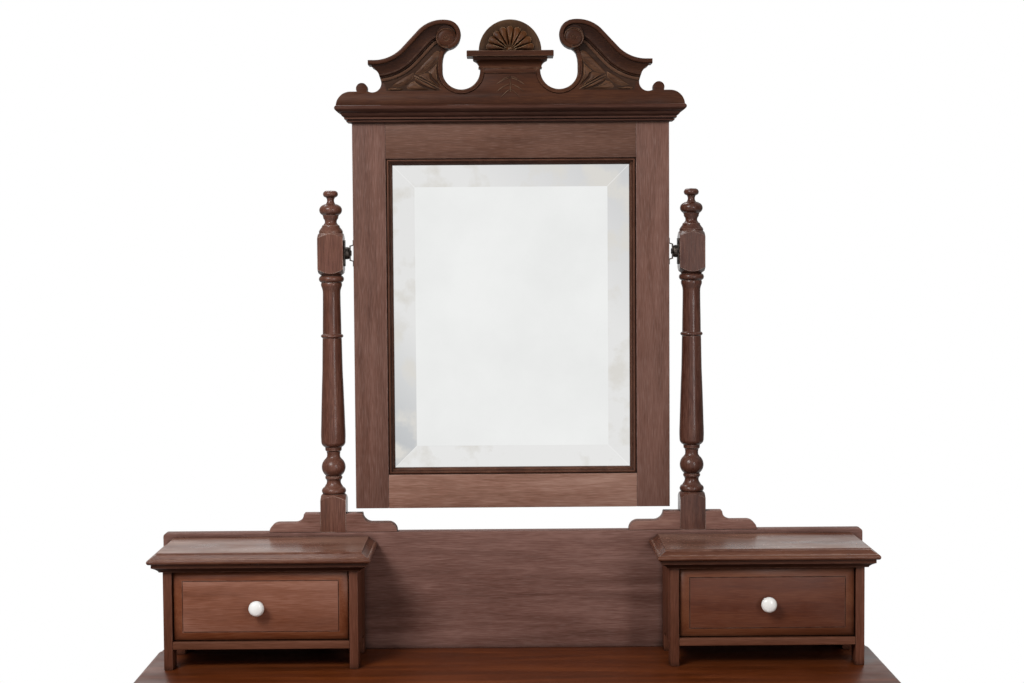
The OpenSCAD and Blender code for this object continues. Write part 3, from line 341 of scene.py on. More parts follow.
leg_x, leg_y = (lo.x + hi.x) * 500, (lo.y + hi.y) * 500
lo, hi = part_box("back_left_leg")
leg_spread = (lo.y + hi.y) * 500 - leg_y
leg = turned("front_left_turned_leg", leg_x, leg_y, leg_profile)
close_piece(leg)
keep_square(leg, leg_x - leg_sq / 2, leg_x + leg_sq / 2, leg_y - leg_sq / 2, leg_y + leg_sq / 2, 0, top_low)
bpy.ops.object.shade_smooth_by_angle(angle=math.radians(32))
right_leg = another(leg, "front_right_turned_leg", dx=-2 * leg_x)
for front, side in ((leg, "left"), (right_leg, "right")):
    back = another(front, "back_%s_turned_leg" % side, dy=leg_spread)
    dress(back, leg_wood, "table", "show_wood", "back_%s_leg" % side)
for front, side in ((leg, "left"), (right_leg, "right")):
    dress(front, leg_wood, "table", "show_wood", "front_%s_leg" % side)

# Frame under the top
# Plain aprons at the ends and back, two rails with an upright at the front, tenoned in the legs.
# The runners and kickers behind them are bare softer wood.
rail_wood = hardwood("apron wood, grain along", (70, 41, 30), (90, 55, 42), (112, 74, 60), (138, 108, 94),
                     along="X")
end_wood = hardwood("apron wood, grain across", (70, 41, 30), (88, 54, 41), (110, 72, 58), (138, 108, 94),
                    along="Y", place=(0.3, 0, 0.1))
upright_wood = hardwood("upright wood", (70, 41, 30), (88, 54, 41), (110, 72, 58), (138, 108, 94))
bare_wood = hardwood("bare wood", (120, 92, 64), (150, 118, 84), (176, 144, 106), (104, 78, 54), along="Y",
                     rough=(0.7, 0.85), sheen=0.2, rub=0.2)
finish_with(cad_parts["end_aprons"], end_wood)
finish_with(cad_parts["back_apron"], rail_wood)
finish_with(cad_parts["front_rails"], rail_wood)
finish_with(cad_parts["drawer_upright"], upright_wood)
finish_with(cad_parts["drawer_runners"], bare_wood)
finish_with(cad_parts["drawer_kickers"], bare_wood)

# Table top
# One wide board with a rounded edge and a small step on its front and ends, stained darker than
# the rest and polished. It lies on the frame, and its back edge takes the backboard's screws.


def moulded(name, x0, x1, y_front, y_back, z, profile):
    """A board whose front and ends carry a moulding: (projection, height) steps in millimetres."""
    xm, w, d = (x0 + x1) / 2, x1 - x0, y_back - y_front
    out, up = profile[0]
    anchor = (mm(xm), mm(y_back), mm(z + up))
    piece = start_piece(name, bpy.ops.mesh.primitive_plane_add, size=1, location=anchor)
    bpy.ops.transform.translate(value=(0, -0.5, 0))
    bpy.ops.transform.resize(value=(mm(w + 2 * out), mm(d + out), 1), center_override=anchor)
    for out2, up2 in profile[1:]:
        draw_out(0, 0, up2 - up)
        bpy.ops.transform.resize(value=((w + 2 * out2) / (w + 2 * out), (d + out2) / (d + out), 1),
                                 center_override=(mm(xm), mm(y_back), mm(z + up2)))
        out, up = out2, up2
    return piece


top_wood = hardwood("table top wood", (65, 28, 5), (96, 43, 13), (131, 66, 25), (104, 68, 50), along="X",
                    place=(0, 0.4, 0.2), rough=(0.34, 0.5), relief=0.06, sheen=0.3, pore_mix=0.15,
                    streak=0.35, haze=(112, 64, 38))
back_edge, board_t = 220.2, 22
top_edge = ([(-3, 0), (-1, 2)] + bend(-9, 11, 9, 0, 90, 10) + [(-9, 22)])
table_top = moulded("moulded_table_top", -537, 537, -259.8, back_edge, top_low, top_edge)
close_piece(table_top, soften=0.6)
dress(table_top, top_wood, "table", "top_wood", "table_top")

# Backboard and wings
# An upright board screwed to the back edge of the top, with its upper corners rounded, and four
# shaped wings on its upper edge that frame the feet of the mirror posts.


def drawn(name, outline):
    """Draws an outline of (x, y, z) points in millimetres and fills it."""
    points = [Vector((mm(p[0]), mm(p[1]), mm(p[2]))) for p in outline]
    piece = start_piece(name, bpy.ops.mesh.primitive_plane_add, size=0.001, location=points[0])
    bpy.ops.mesh.merge(type="CENTER")
    for a, b in zip(points, points[1:]):
        bpy.ops.mesh.extrude_region_move(TRANSFORM_OT_translate={"value": b - a})
    bpy.ops.mesh.select_all(action="SELECT")
    bpy.ops.mesh.edge_face_add()
    return piece


def sawn(name, outline, push):
    """Draws an outline and pushes it to its thickness."""
    piece = drawn(name, outline)
    draw_out(*push)
    return piece


board_wood = hardwood("backboard wood", (80, 50, 40), (112, 78, 69), (146, 110, 100), (160, 132, 124), along="X",
                      place=(0.2, 0, 0.7), rough=(0.42, 0.6))
board_low, board_top = 716, 936
board_line = ([(-525, board_low), (525, board_low)] + bend(520, board_top - 5, 5, 0, 90, 6)
              + bend(-520, board_top - 5, 5, 90, 180, 6))
backboard = sawn("shaped_backboard", [(x, back_edge, z) for x, z in board_line], (0, board_t, 0))
close_piece(backboard, soften=1.2)
dress(backboard, board_wood, "table", "show_wood", "backboard")

wing_wood = hardwood("wing wood", (88, 56, 42), (122, 85, 75), (155, 120, 105), (164, 136, 126), along="X",
                     place=(0.5, 0, 0.9))
post_x, axis_y = 270.0, 239.2
wing_line = ([(19, board_top), (19, 964)] + bend(58, 964, 14, 180, 270, 12)
             + bend(82, board_top, 14, 90, 0, 12))
outer_wing = sawn("left_outer_wing", [(-post_x - x, back_edge, z) for x, z in wing_line], (0, board_t, 0))
close_piece(outer_wing, soften=1.0)
inner_wing = sawn("left_inner_wing", [(-post_x + x, back_edge, z) for x, z in wing_line], (0, board_t, 0))
close_piece(inner_wing, soften=1.0)
dress_both(outer_wing, wing_wood, "table", "show_wood", "left_post_wings")
dress_both(inner_wing, wing_wood, "table", "show_wood", "left_post_wings")

# Mirror posts
# Two turned posts, left square at the foot and at the pivot, with a knob finial on top. Their
# tails lap down behind the backboard and are screwed there.
base_top = board_top + 56
column = base_top + 75
pivot_z = 1354.0
bead = pivot_z - 124
block_low, block_top = pivot_z - 30.5, pivot_z + 30.5
tip = block_top + 63
post_profile = ([(0.5, 730), (27.4, 730), (27.4, base_top - 9), (19, base_top - 2), (17, base_top)]
                + bend(12.5, base_top + 4.5, 5.7, -50, 70, 9)
                + [(12.5, base_top + 13), (11, base_top + 15.5), (10.4, base_top + 18.5), (11, base_top + 21),
                   (12.8, base_top + 23.5), (12.9, base_top + 26)]
                + bend(1.3, base_top + 40.5, 16.6, -52, 50, 20)
                + [(10, base_top + 56), (9.7, base_top + 60), (10.4, base_top + 64), (12.3, base_top + 66),
                   (12.4, base_top + 69)]
                + bend(9.2, column + 4, 9, -68, 0, 10)
                + [(18.5, column + 12), (18.4, column + 20), (18, column + 30), (17.5, column + 48),
                   (16.8, column + 70), (16.1, column + 90), (15.3, column + 110), (14.5, bead - 8),
                   (14.3, bead - 3)]
                + bend(14.2, bead, 2.6, -70, 70, 8)
                + [(14, bead + 3), (13.8, bead + 20), (13.3, bead + 50), (13.2, block_low - 28),
                   (13.5, block_low - 25), (14.2, block_low - 22), (15.7, block_low - 18), (15.8, block_low - 15)]
                + bend(13.2, block_low - 8, 5.6, -70, 70, 9)
                + [(16.8, block_low - 1.5), (27.4, block_low + 7), (27.4, block_top - 9), (17.8, block_top - 0.5),
                   (17.9, block_top + 2.5), (16.4, block_top + 5), (13.6, block_top + 8.5), (13, block_top + 11),
                   (11.3, block_top + 12), (10.4, block_top + 13), (9.2, block_top + 14.7), (8.8, block_top + 16),
                   (9.2, block_top + 19), (11.2, block_top + 22), (11.4, block_top + 24)]
                + bend(8.9, block_top + 34, 8.1, -65, 62, 14)
                + [(9.6, block_top + 42.8), (7.4, tip - 20), (6, tip - 18), (5.3, tip - 16), (5.3, tip - 13.5),
                   (5.8, tip - 12), (6.6, tip - 10.5)]
                + bend(6, tip - 5.2, 5.2, -45, 80, 12) + [(3, tip + 0.1), (0.4, tip + 0.4)])
post_wood = hardwood("post wood", (51, 24, 17), (86, 49, 37), (128, 86, 75), (190, 164, 150),
                     rough=(0.2, 0.36), rub=0.85, bloom=0.16, streak=0.6, haze=(142, 98, 76), sheen=0.32)
# The right post gets a darker copy of the post wood: painted shade on the side further from the key light.
shaded_right_post_wood = hardwood("right post wood", (41, 14, 8), (69, 36, 26), (107, 70, 58), (180, 154, 142),
                           place=(0.4, 0.1, 0.2), rough=(0.2, 0.36), rub=0.7, bloom=0.12, streak=0.6,
                           haze=(124, 86, 68), sheen=0.32)
post = turned("left_turned_post", -post_x, axis_y, post_profile, steps=72)
close_piece(post)
keep_square(post, -post_x - 19, -post_x + 19, back_edge, back_edge + 38, 730, tip + 2)
keep_square(post, -post_x - 30, -post_x + 30, 210, back_edge + board_t, 720, board_top, operation="DIFFERENCE")
bpy.ops.object.shade_smooth_by_angle(angle=math.radians(32))
right_post = another(post, "right_turned_post", dx=2 * post_x)
dress(post, post_wood, "table", "show_wood", "left_post")
dress(right_post, shaded_right_post_wood, "table", "show_wood", "right_post")

# Jewel boxes
# Two raised boxes that stand on the top against the backboard. Each has a lid board with a
# bevelled edge, a hollow moulding under it, two ends cut out to short feet, and a floor board.
box_x0, box_x1, box_front, under_z = -501.5, -223.5, 89.2, 902.0
# The lid's tops are paled by a painted sheen on faces turned up.
lid_wood = hardwood("box lid wood", (60, 27, 13), (83, 43, 27), (107, 65, 46), (212, 176, 158), along="X",
                    place=(0.1, 0.3, 0.5), rough=(0.2, 0.4), pore_mix=0.35, rub=0.3, haze=(150, 108, 86),
                    painted_top_sheen=0.3, sheen=0.25)
hollow_wood = hardwood("dark moulding wood", (46, 22, 13), (62, 32, 20), (82, 48, 34), (110, 78, 64),
                       along="X", place=(0.7, 0, 0.1), rub=0.8, haze=(90, 54, 38))
box_end_wood = hardwood("box end wood", (62, 33, 18), (90, 51, 36), (120, 75, 60), (150, 116, 100),
                        place=(0.2, 0.9, 0), haze=(128, 84, 62))
floor_wood = hardwood("box floor wood", (72, 40, 24), (101, 61, 44), (129, 86, 71), (150, 116, 98), along="X",
                      place=(0.4, 0, 0.2), haze=(128, 84, 62))
lid_edge = bend(15.75, 3.75, 3.75, -90, 80, 12) + [(14.8, 7.5), (14.6, 8.3), (7.4, 13), (7.2, 14.8), (6.5, 15.5)]
lid = moulded("left_bevelled_lid", box_x0, box_x1, box_front, back_edge, under_z + 12.5, lid_edge)
close_piece(lid, smooth=40)
under_edge = [(4.8, 0), (4.9, 1), (5.6, 2), (7, 3.3), (9, 4.8), (11.2, 6), (13.2, 7), (14, 7.3), (14, 12.5)]
under = moulded("left_hollow_moulding", box_x0, box_x1, box_front, back_edge, under_z, under_edge)
close_piece(under)
box_low, box_end_t, foot_w = 760, 12.5, 32
end_line = ([(box_front, box_low), (box_front, under_z), (back_edge, under_z), (back_edge, box_low),
             (back_edge - foot_w, box_low)]
            + bend(back_edge - foot_w - 8, box_low + 21, 8, 0, 90, 8)
            + bend(box_front + foot_w + 8, box_low + 21, 8, 90, 180, 8) + [(box_front + foot_w, box_low)])
outer_end = sawn("left_outer_box_end", [(box_x0, y, z) for y, z in end_line], (box_end_t, 0, 0))
close_piece(outer_end, soften=0.7)
inner_end = another(outer_end, "left_inner_box_end", dx=box_x1 - box_end_t - box_x0)
box_floor = start_piece("left_box_floor_board", bpy.ops.mesh.primitive_cube_add, size=1,
                        location=(mm((box_x0 + box_x1) / 2), mm((box_front + back_edge) / 2), mm(794.75)))
bpy.ops.transform.resize(value=(mm(box_x1 - box_x0 - 2 * box_end_t), mm(back_edge - box_front), mm(11.5)))
close_piece(box_floor, soften=1.4, segments=3)
for piece, wood, node in ((lid, lid_wood, "lid"), (under, hollow_wood, "moulding"),
                          (outer_end, box_end_wood, "ends"), (inner_end, box_end_wood, "ends"),
                          (box_floor, floor_wood, "floor")):
    dress_both(piece, wood, "table", "show_wood", "left_box_" + node)

# Drawers
# Two jewel drawers and two frieze drawers. Each front has a raised field with a bevelled border,
# the boxes behind are bare wood, and the knobs are turned white china on a short neck.


def fielded(name, x0, x1, z0, z1, y, thick, side, long, drop, step, quirk=0.0):
    """A raised field and a border that slopes back to the edges, with a fine groove between."""
    xm, zm, w, h = (x0 + x1) / 2, (z0 + z1) / 2, x1 - x0, z1 - z0
    piece = start_piece(name, bpy.ops.mesh.primitive_plane_add, size=1, rotation=(math.pi / 2, 0, 0),
                        location=(mm(xm), mm(y + thick), mm(zm)))
    bpy.ops.transform.resize(value=(mm(w), 1, mm(h)))
    draw_out(0, drop - thick, 0)
    w2, h2 = w - 2 * (side - quirk), h - 2 * (long - quirk)
    draw_out(0, step - drop, 0)
    bpy.ops.transform.resize(value=(w2 / w, 1, h2 / h))
    if quirk:
        w3, h3 = w2 - 0.4 * quirk, h2 - 0.4 * quirk
        draw_out(0, quirk, 0)
        bpy.ops.transform.resize(value=(w3 / w2, 1, h3 / h2))
        draw_out(0, 0, 0)
        bpy.ops.transform.resize(value=((w - 2 * side) / w3, 1, (h - 2 * long) / h3))
    draw_out(0, -step - quirk, 0)
    return piece


def laid_forward(piece, x, y, z):
    """Turns an upright turning so that it points to the front, at its place."""
    piece.rotation_euler = (math.pi / 2, 0, 0)
    piece.location = (mm(x), mm(y), mm(z))


front_wood = hardwood("drawer front wood", (88, 46, 27), (121, 72, 51), (152, 106, 88), (168, 138, 130),
                      along="X", place=(0.3, 0, 0.8), rough=(0.36, 0.52), sheen=0.2, haze=(154, 110, 94),
                      bloom=0.4)
# The border's redder, more saturated colour is painted reflection of the warm table top and painted shade on the
# slopes.
border_painted_reflection = hardwood("drawer border wood", (75, 32, 12), (106, 54, 29), (131, 82, 58), (160, 122, 104),
                        along="X", place=(0.6, 0, 0.4), rough=(0.34, 0.48), sheen=0.2, haze=(140, 88, 58))
# The right jewel drawer's front and border are darker copies: painted shade on the side further from the key
# light; the border also carries the painted reflection.
shaded_right_front_wood = hardwood("right drawer front wood", (59, 21, 8), (83, 38, 19), (110, 62, 39),
                            (150, 122, 112), along="X", place=(0.9, 0, 0.3), rough=(0.36, 0.52), sheen=0.2,
                            haze=(122, 82, 68), bloom=0.3)
shaded_right_border_wood = hardwood("right drawer border wood", (72, 34, 17), (96, 51, 29), (118, 72, 48),
                              (140, 108, 92), along="X", place=(0.1, 0, 0.2), rough=(0.34, 0.48), sheen=0.2,
                              haze=(110, 66, 44))


def two_tone(piece, border):
    """Gives the sloping border of a fielded front a redder colour of its own: painted reflection of the warm table
    top, and painted shade.
    """
    piece.data.materials.append(border)
    for face in piece.data.polygons:
        if 0.3 < abs(face.normal.y) < 0.99:
            face.material_index = 1


drawer_wood = hardwood("drawer side wood", (116, 88, 62), (146, 114, 82), (170, 138, 102), (100, 74, 52),
                       along="Y", rough=(0.65, 0.8), sheen=0.2)


def clouded(name, scale, detail, low, high, rough, metal=0.0, dents=0.0):
    """A finish, glazed or of metal, whose colour and polish drift a little over the surface."""
    finish, tree, shader, where = start_finish(name)
    cloud = clouds(tree, where, scale, detail)
    give(tree, shader, Base_Color=toned(tree, cloud, low, high), Metallic=metal,
         Roughness=ramp_up(tree, cloud, 0, 1, *rough))
    if dents:
        bump = add_step(tree, "Bump", {"Strength": dents, "Distance": 0.0004, "Height": cloud})
        give(tree, shader, Normal=bump.outputs["Normal"])
    return finish


china = clouded("white china", 60, 4, (0.35, (246, 245, 241)), (0.6, (254, 254, 252)), (0.1, 0.26))
knob_line = ([(8.1, 0), (8.1, 1.5), (7.4, 2.3), (6.2, 3.2), (5.8, 4.2), (5.6, 9)]
             + bend(5.2, 14.6, 6, -62, 70, 14) + [(5.4, 20.7), (3.4, 21.1), (0.3, 21.3)])
knob = turned("left_jewel_china_knob", 0, 0, knob_line, steps=40)
laid_forward(knob, 0, 0, 0)
close_piece(knob, smooth=50)


def china_knob(name, x, y, z, body, node):
    """One more knob at its place on a drawer front."""
    piece = another(knob, name, dx=x, dy=y)
    bpy.ops.object.mode_set(mode="EDIT")
    bpy.ops.mesh.select_all(action="SELECT")
    bpy.ops.transform.translate(value=(0, 0, mm(z)))
    bpy.ops.object.mode_set(mode="OBJECT")
    dress(piece, china, body, "knob_china", node)


for side, sign in (("left", -1), ("right", 1)):
    node, body = side + "_jewel_front", side + "_jewel_drawer"
    lo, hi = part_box(node)
    front = fielded(side + "_jewel_fielded_front", lo.x * 1000, hi.x * 1000, lo.z * 1000, hi.z * 1000,
                    lo.y * 1000, 16, 14.2, 13.2, 6, 0.8, quirk=1.1)
    close_piece(front, soften=0.3)
    dress(front, front_wood if sign < 0 else shaded_right_front_wood, body, "show_wood", node)
    two_tone(front, border_painted_reflection if sign < 0 else shaded_right_border_wood)
    lo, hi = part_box(side + "_jewel_knob")
    china_knob(side + "_jewel_china_knob_set", (lo.x + hi.x) * 500, box_front, (lo.z + hi.z) * 500,
               body, side + "_jewel_knob")
    finish_with(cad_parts[side + "_jewel_sides"], drawer_wood)
    finish_with(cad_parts[side + "_jewel_bottom"], drawer_wood)
    node, body = side + "_frieze_front", side + "_frieze_drawer"
    lo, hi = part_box(node)
    front = fielded(side + "_frieze_fielded_front", lo.x * 1000, hi.x * 1000, lo.z * 1000, hi.z * 1000,
                    lo.y * 1000, 20, 12, 14, 4.5, 0.8, quirk=1.1)
    close_piece(front, soften=0.3)
    dress(front, front_wood, body, "show_wood", node)
    two_tone(front, border_painted_reflection)
    knob_lo, knob_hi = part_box(side + "_frieze_knobs")
    for place, k in (("outer", knob_lo.x * 1000 + 11.2), ("inner", knob_hi.x * 1000 - 11.2)):
        china_knob(side + "_frieze_" + place + "_china_knob", k, lo.y * 1000,
                   (knob_lo.z + knob_hi.z) * 500, body, side + "_frieze_knobs")
    finish_with(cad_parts[side + "_frieze_sides"], drawer_wood)
    finish_with(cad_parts[side + "_frieze_bottom"], drawer_wood)
bpy.data.objects.remove(knob)

# Mirror frame
# Two stiles with the rails tenoned between them, a small moulding mitred round the glass, a
# bevelled plate held by fillets, and a thin back panel lapped over the frame.
frame_wood = hardwood("stile wood", (74, 46, 37), (103, 70, 59), (130, 94, 83), (166, 140, 132),
                      place=(0.15, 0.2, 0), rough=(0.45, 0.62), relief=0.1, rub=0.8)
top_rail_wood = hardwood("upper rail wood", (68, 41, 30), (89, 59, 46), (112, 78, 64), (158, 130, 120), along="X",
                         place=(0, 0.2, 0.33), rough=(0.45, 0.62), relief=0.1)
low_rail_wood = hardwood("lower rail wood", (100, 62, 43), (143, 104, 89), (177, 141, 126), (184, 158, 144),
                         along="X", place=(0, 0.6, 0.13), rough=(0.45, 0.62), relief=0.1)
sight_wood = hardwood("sight moulding wood", (58, 31, 20), (80, 47, 33), (104, 68, 52), (150, 116, 98), rub=0.3,
                      haze=(112, 76, 60))


def squared(name, x0, x1, y0, y1, z0, z1):
    """A straight length of squared wood."""
    piece = start_piece(name, bpy.ops.mesh.primitive_cube_add, size=1,
                        location=(mm((x0 + x1) / 2), mm((y0 + y1) / 2), mm((z0 + z1) / 2)))
    bpy.ops.transform.resize(value=(mm(x1 - x0), mm(y1 - y0), mm(z1 - z0)))
    return piece


frame_y, frame_low, frame_top = 228.2, 970.5, 1546.5
frame_back = frame_y + 22
frame_wide, inner_wide = 472.0, 373.0
inner_low, inner_top = frame_low + 50.5, frame_top - 52.5
stile = squared("left_long_stile", -frame_wide / 2, -inner_wide / 2, frame_y, frame_back, frame_low, frame_top)
close_piece(stile, soften=0.9)
dress_both(stile, frame_wood, "mirror", "show_wood", "left_stile")
for name, low, top, wood, node in (("upper_frame_rail", inner_top, frame_top, top_rail_wood, "mirror_top_rail"),
                                   ("lower_frame_rail", frame_low, inner_low, low_rail_wood, "mirror_low_rail")):
    rail = squared(name, -inner_wide / 2, inner_wide / 2, frame_y, frame_back, low, top)
    close_piece(rail, soften=0.7)
    dress(rail, wood, "mirror", "show_wood", node)

inner_high = inner_top - inner_low
sight = start_piece("mitred_sight_moulding", bpy.ops.mesh.primitive_plane_add, size=1,
                    rotation=(math.pi / 2, 0, 0), location=(0, mm(frame_y + 13), mm((inner_low + inner_top) / 2)))
bpy.ops.transform.resize(value=(mm(inner_wide), 1, mm(inner_high)))
sight_line = ([(0, 13), (0, 4.6), (1.2, 4.8), (1.3, 2.9)] + bend(2.7, 2.9, 1.4, 180, 360, 10)[1:]
              + [(4.2, 6.4), (6.1, 7.2), (6.3, 6.3), (9, 9.8), (9, 13)])
for (x, y), (x2, y2) in zip(sight_line, sight_line[1:]):
    draw_out(0, y2 - y, 0)
    bpy.ops.transform.resize(value=((inner_wide - 2 * x2) / (inner_wide - 2 * x), 1,
                                    (inner_high - 2 * x2) / (inner_high - 2 * x)))
bpy.ops.mesh.delete(type="FACE")
bpy.ops.object.mode_set(mode="OBJECT")
for face in sight.data.polygons:
    face.select = len(face.vertices) == 4 and face.area > 0.1
bpy.ops.object.mode_set(mode="EDIT")
bpy.ops.mesh.delete(type="FACE")
bpy.ops.mesh.select_all(action="SELECT")
bpy.ops.mesh.remove_doubles(threshold=0.00001)
bpy.ops.mesh.select_all(action="DESELECT")
bpy.ops.mesh.select_mode(type="EDGE")
bpy.ops.mesh.select_non_manifold()
bpy.ops.mesh.bridge_edge_loops()
bpy.ops.mesh.select_mode(type="VERT")
close_piece(sight, smooth=40)
dress(sight, sight_wood, "mirror", "show_wood", "sight_moulding")

glass_low, glass_top, glass_face, glass_half, bevel_w = 1027.5, 1487.5, 239.2, 180, 36
glass = fielded("bevelled_mirror_plate", -glass_half, glass_half, glass_low, glass_top, glass_face, 5,
                bevel_w, bevel_w, 2.4, 0.01)
close_piece(glass, smooth=0.2)
silver, tree, shader, where = start_finish("silvered glass")
tarnish = clouds(tree, where, 9, 5)
spots = clouds(tree, where, 26, 4)
spot = add_step(tree, "SeparateXYZ", {"Vector": where}).outputs
middle_z = mm((glass_low + glass_top) / 2)
past_x = reckon(tree, "SUBTRACT", reckon(tree, "ABSOLUTE", spot["X"]), mm(glass_half - bevel_w))
past_z = reckon(tree, "SUBTRACT", reckon(tree, "ABSOLUTE", reckon(tree, "SUBTRACT", spot["Z"], middle_z)),
                mm((glass_top - glass_low) / 2 - bevel_w))
on_bevel = ramp_up(tree, reckon(tree, "MAXIMUM", past_x, past_z), 0.0, 0.0009)
painted_glint_on_mitre = ramp_up(tree, reckon(tree, "ABSOLUTE", reckon(tree, "SUBTRACT", past_x, past_z)), 0.0014, 0.0004)
# On the bevels the silver's colour carries a painted reflection: darker than the plate, darker still towards the
# upper right and the lower left, the bottom bevel kept light, with a painted glint along the mitres. Tarnish and
# spots are the silvering's own.
painted_reflection_slant = reckon(tree, "ADD", spot["X"], spot["Z"])
at_ends = ramp_up(tree, reckon(tree, "SUBTRACT", past_z, past_x), -0.0004, 0.0004)
painted_reflection_low_strip = reckon(tree, "MULTIPLY", at_ends, ramp_up(tree, spot["Z"], 1.2, 1.19))
last = toned(tree, tarnish, (0.3, (232, 233, 232)), (0.7, (239, 240, 239)))
for mask, share, colour in ((1.0, 1.0, (228, 228, 227)),
                            (ramp_up(tree, painted_reflection_slant, 1.4, 1.64), 0.7, (196, 197, 199)),
                            (ramp_up(tree, painted_reflection_slant, 1.1, 0.88), 0.9, (184, 187, 190)),
                            (painted_reflection_low_strip, 1.0, (231, 231, 230)),
                            (ramp_up(tree, spots, 0.5, 0.66), 1.0, (218, 216, 211)),
                            (painted_glint_on_mitre, 0.4, (244, 244, 243))):
    shown = reckon(tree, "MULTIPLY", on_bevel, reckon(tree, "MULTIPLY", mask, share))
    last = laid_over(tree, last, srgb(*colour), shown)
give(tree, shader, Base_Color=last, Metallic=1.0, Roughness=ramp_up(tree, tarnish, 0, 1, 0.02, 0.05))
dress(glass, silver, "mirror", "silvered_glass", "mirror_glass")

back_wood = hardwood("back panel wood", (88, 62, 44), (122, 90, 66), (146, 114, 86), (84, 60, 44),
                     rough=(0.7, 0.85), sheen=0.2)
finish_with(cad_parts["mirror_back"], back_wood)
finish_with(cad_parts["glass_fillets"], bare_wood)

# Pivots and screws
# A small iron plate with a domed boss on the inner face of each post, its pin running in a strap
# bent out from the edge of the mirror frame to meet it. Steel screws hold the backboard.
iron = clouded("dark iron", 220, 5, (0.38, (34, 30, 28)), (0.66, (84, 76, 70)), (0.35, 0.6), metal=0.9, dents=0.2)
steel = clouded("dulled steel", 220, 5, (0.38, (84, 76, 68)), (0.66, (140, 132, 122)), (0.35, 0.55), metal=0.9,
                dents=0.2)
for node, metal in (("pivot_pins", iron), ("back_screws", steel), ("pivot_straps", iron)):
    finish_with(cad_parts[node], metal)
plate_face = 249
plate = squared("left_pivot_plate", -plate_face - 2, -plate_face, axis_y - 9, axis_y + 9, pivot_z - 19.5,
                pivot_z + 19.5)
close_piece(plate, soften=0.5)
boss_line = [(9.3, -1), (9.3, 2.6)] + bend(5.4, 2.6, 3.9, 0, 90, 10)[1:] + [(0.4, 6.5)]
boss = turned("left_pivot_boss", 0, 0, boss_line, steps=40)
boss.rotation_euler = (0, math.pi / 2, 0)
boss.location = (mm(-plate_face), mm(axis_y), mm(pivot_z))
close_piece(boss)
dress_both(plate, iron, "table", "dark_iron", "pivot_plates")
dress_both(boss, iron, "table", "dark_iron", "pivot_plates")

# Cornice
# One length of moulding with returned ends along the top of the frame: a small bead, a deep
# hollow and a rounded nose. It is planted on the frame and carries the pediment.
cornice_wood = hardwood("cornice wood", (43, 20, 13), (67, 38, 28), (91, 59, 46), (146, 116, 104), along="X",
                        place=(0.2, 0, 0.45), rough=(0.42, 0.58), rub=0.2, haze=(108, 74, 60))
cornice_edge = ([(0, 0), (1.5, 0.1), (1.5, 1.2), (5.9, 1.3)] + bend(5.9, 2.9, 1.6, -90, 90, 8)
                + [(4.4, 4.6), (4.4, 5.3), (9.6, 5.4), (10.4, 5.8), (10.5, 8.2), (9.8, 8.4), (11.6, 8.9),
                   (13.4, 10.2), (14.7, 11.9), (15.5, 13.4), (15.8, 14.6), (17.6, 14.8), (19.4, 15.6), (21.2, 17)]
                + bend(20, 21.5, 4, -52, 90, 12))
cornice = moulded("moulded_cornice", -frame_wide / 2, frame_wide / 2, frame_y, frame_back, frame_top, cornice_edge)
close_piece(cornice, smooth=40)
dress(cornice, cornice_wood, "mirror", "show_wood", "cornice")

# Pediment
# A board sawn to a broken scroll outline with a pedestal in the middle. Two swan-neck mouldings
# with rolled heads are planted on it, and the panels under them are carved with leaves.
ped_low, ped_face = 1572.0, 229.2
notch_x, notch_h, notch_r = 72.8, 52.0, 28.0
neck_end, end_h, head_r = 210.5, 67.0, 21.5
neck_x1, neck_x2, scroll_h = notch_x + 26.6, neck_end - 9, 125.7
rise = scroll_h - end_h
bend_sum = 0.92 * ((neck_x2 - neck_x1) ** 2 / rise + rise) / 2
upper_r, lower_r = 0.472 * bend_sum, 0.528 * bend_sum
upper_c = (neck_x1, scroll_h - upper_r)
lower_c = (neck_x2, end_h + lower_r)
gap = (lower_c[0] - upper_c[0], lower_c[1] - upper_c[1])
meet = math.degrees(math.atan2(gap[1], gap[0]) + math.acos(bend_sum / math.hypot(*gap)))
head = (upper_c[0] + (upper_r - head_r) * math.cos(math.radians(100)),
        upper_c[1] + (upper_r - head_r) * math.sin(math.radians(100)))
end_steps = [(neck_end, 59.98), (205.4, 59.9), (205.2, 57.8), (204, 56.6), (200.8, 54.8), (197.8, 51.8),
             (195.4, 48), (193.9, 43.6)]
half_line = (bend(notch_x, notch_h, notch_r, 174.3, 360, 28)
             + [(100.7, 56.5), (100.77, 62.6), (99.96, 70.1), (98.0, 77.1), (94.64, 81.3)]
             + bend(head[0], head[1], head_r - 1, 262, 100, 16)
             + bend(upper_c[0], upper_c[1], upper_r, 99, meet, 16)
             + bend(lower_c[0], lower_c[1], lower_r, meet + 180, 270, 16)[1:]
             + [(neck_end, end_h)] + end_steps + bend(205.2, 34, 13.5, 153, 296, 14)
             + bend(221, 26.25, 8.5, 210, -30, 16) + bend(238, 0, 22, 90, 0, 10))
carved_wood = hardwood("pediment wood", (33, 13, 4), (60, 29, 13), (85, 49, 27), (142, 112, 92), along="X",
                       place=(0.2, 0, 0.15), rough=(0.4, 0.56), haze=(98, 58, 36), rub=0.6)
whole_line = half_line[::-1] + [(-x, h) for x, h in half_line]
pediment = sawn("scrolled_pediment_board", [(x, ped_face, ped_low + h) for x, h in whole_line], (0, 20, 0))
close_piece(pediment, soften=0.6)
dress(pediment, carved_wood, "mirror", "show_wood", "pediment_board")


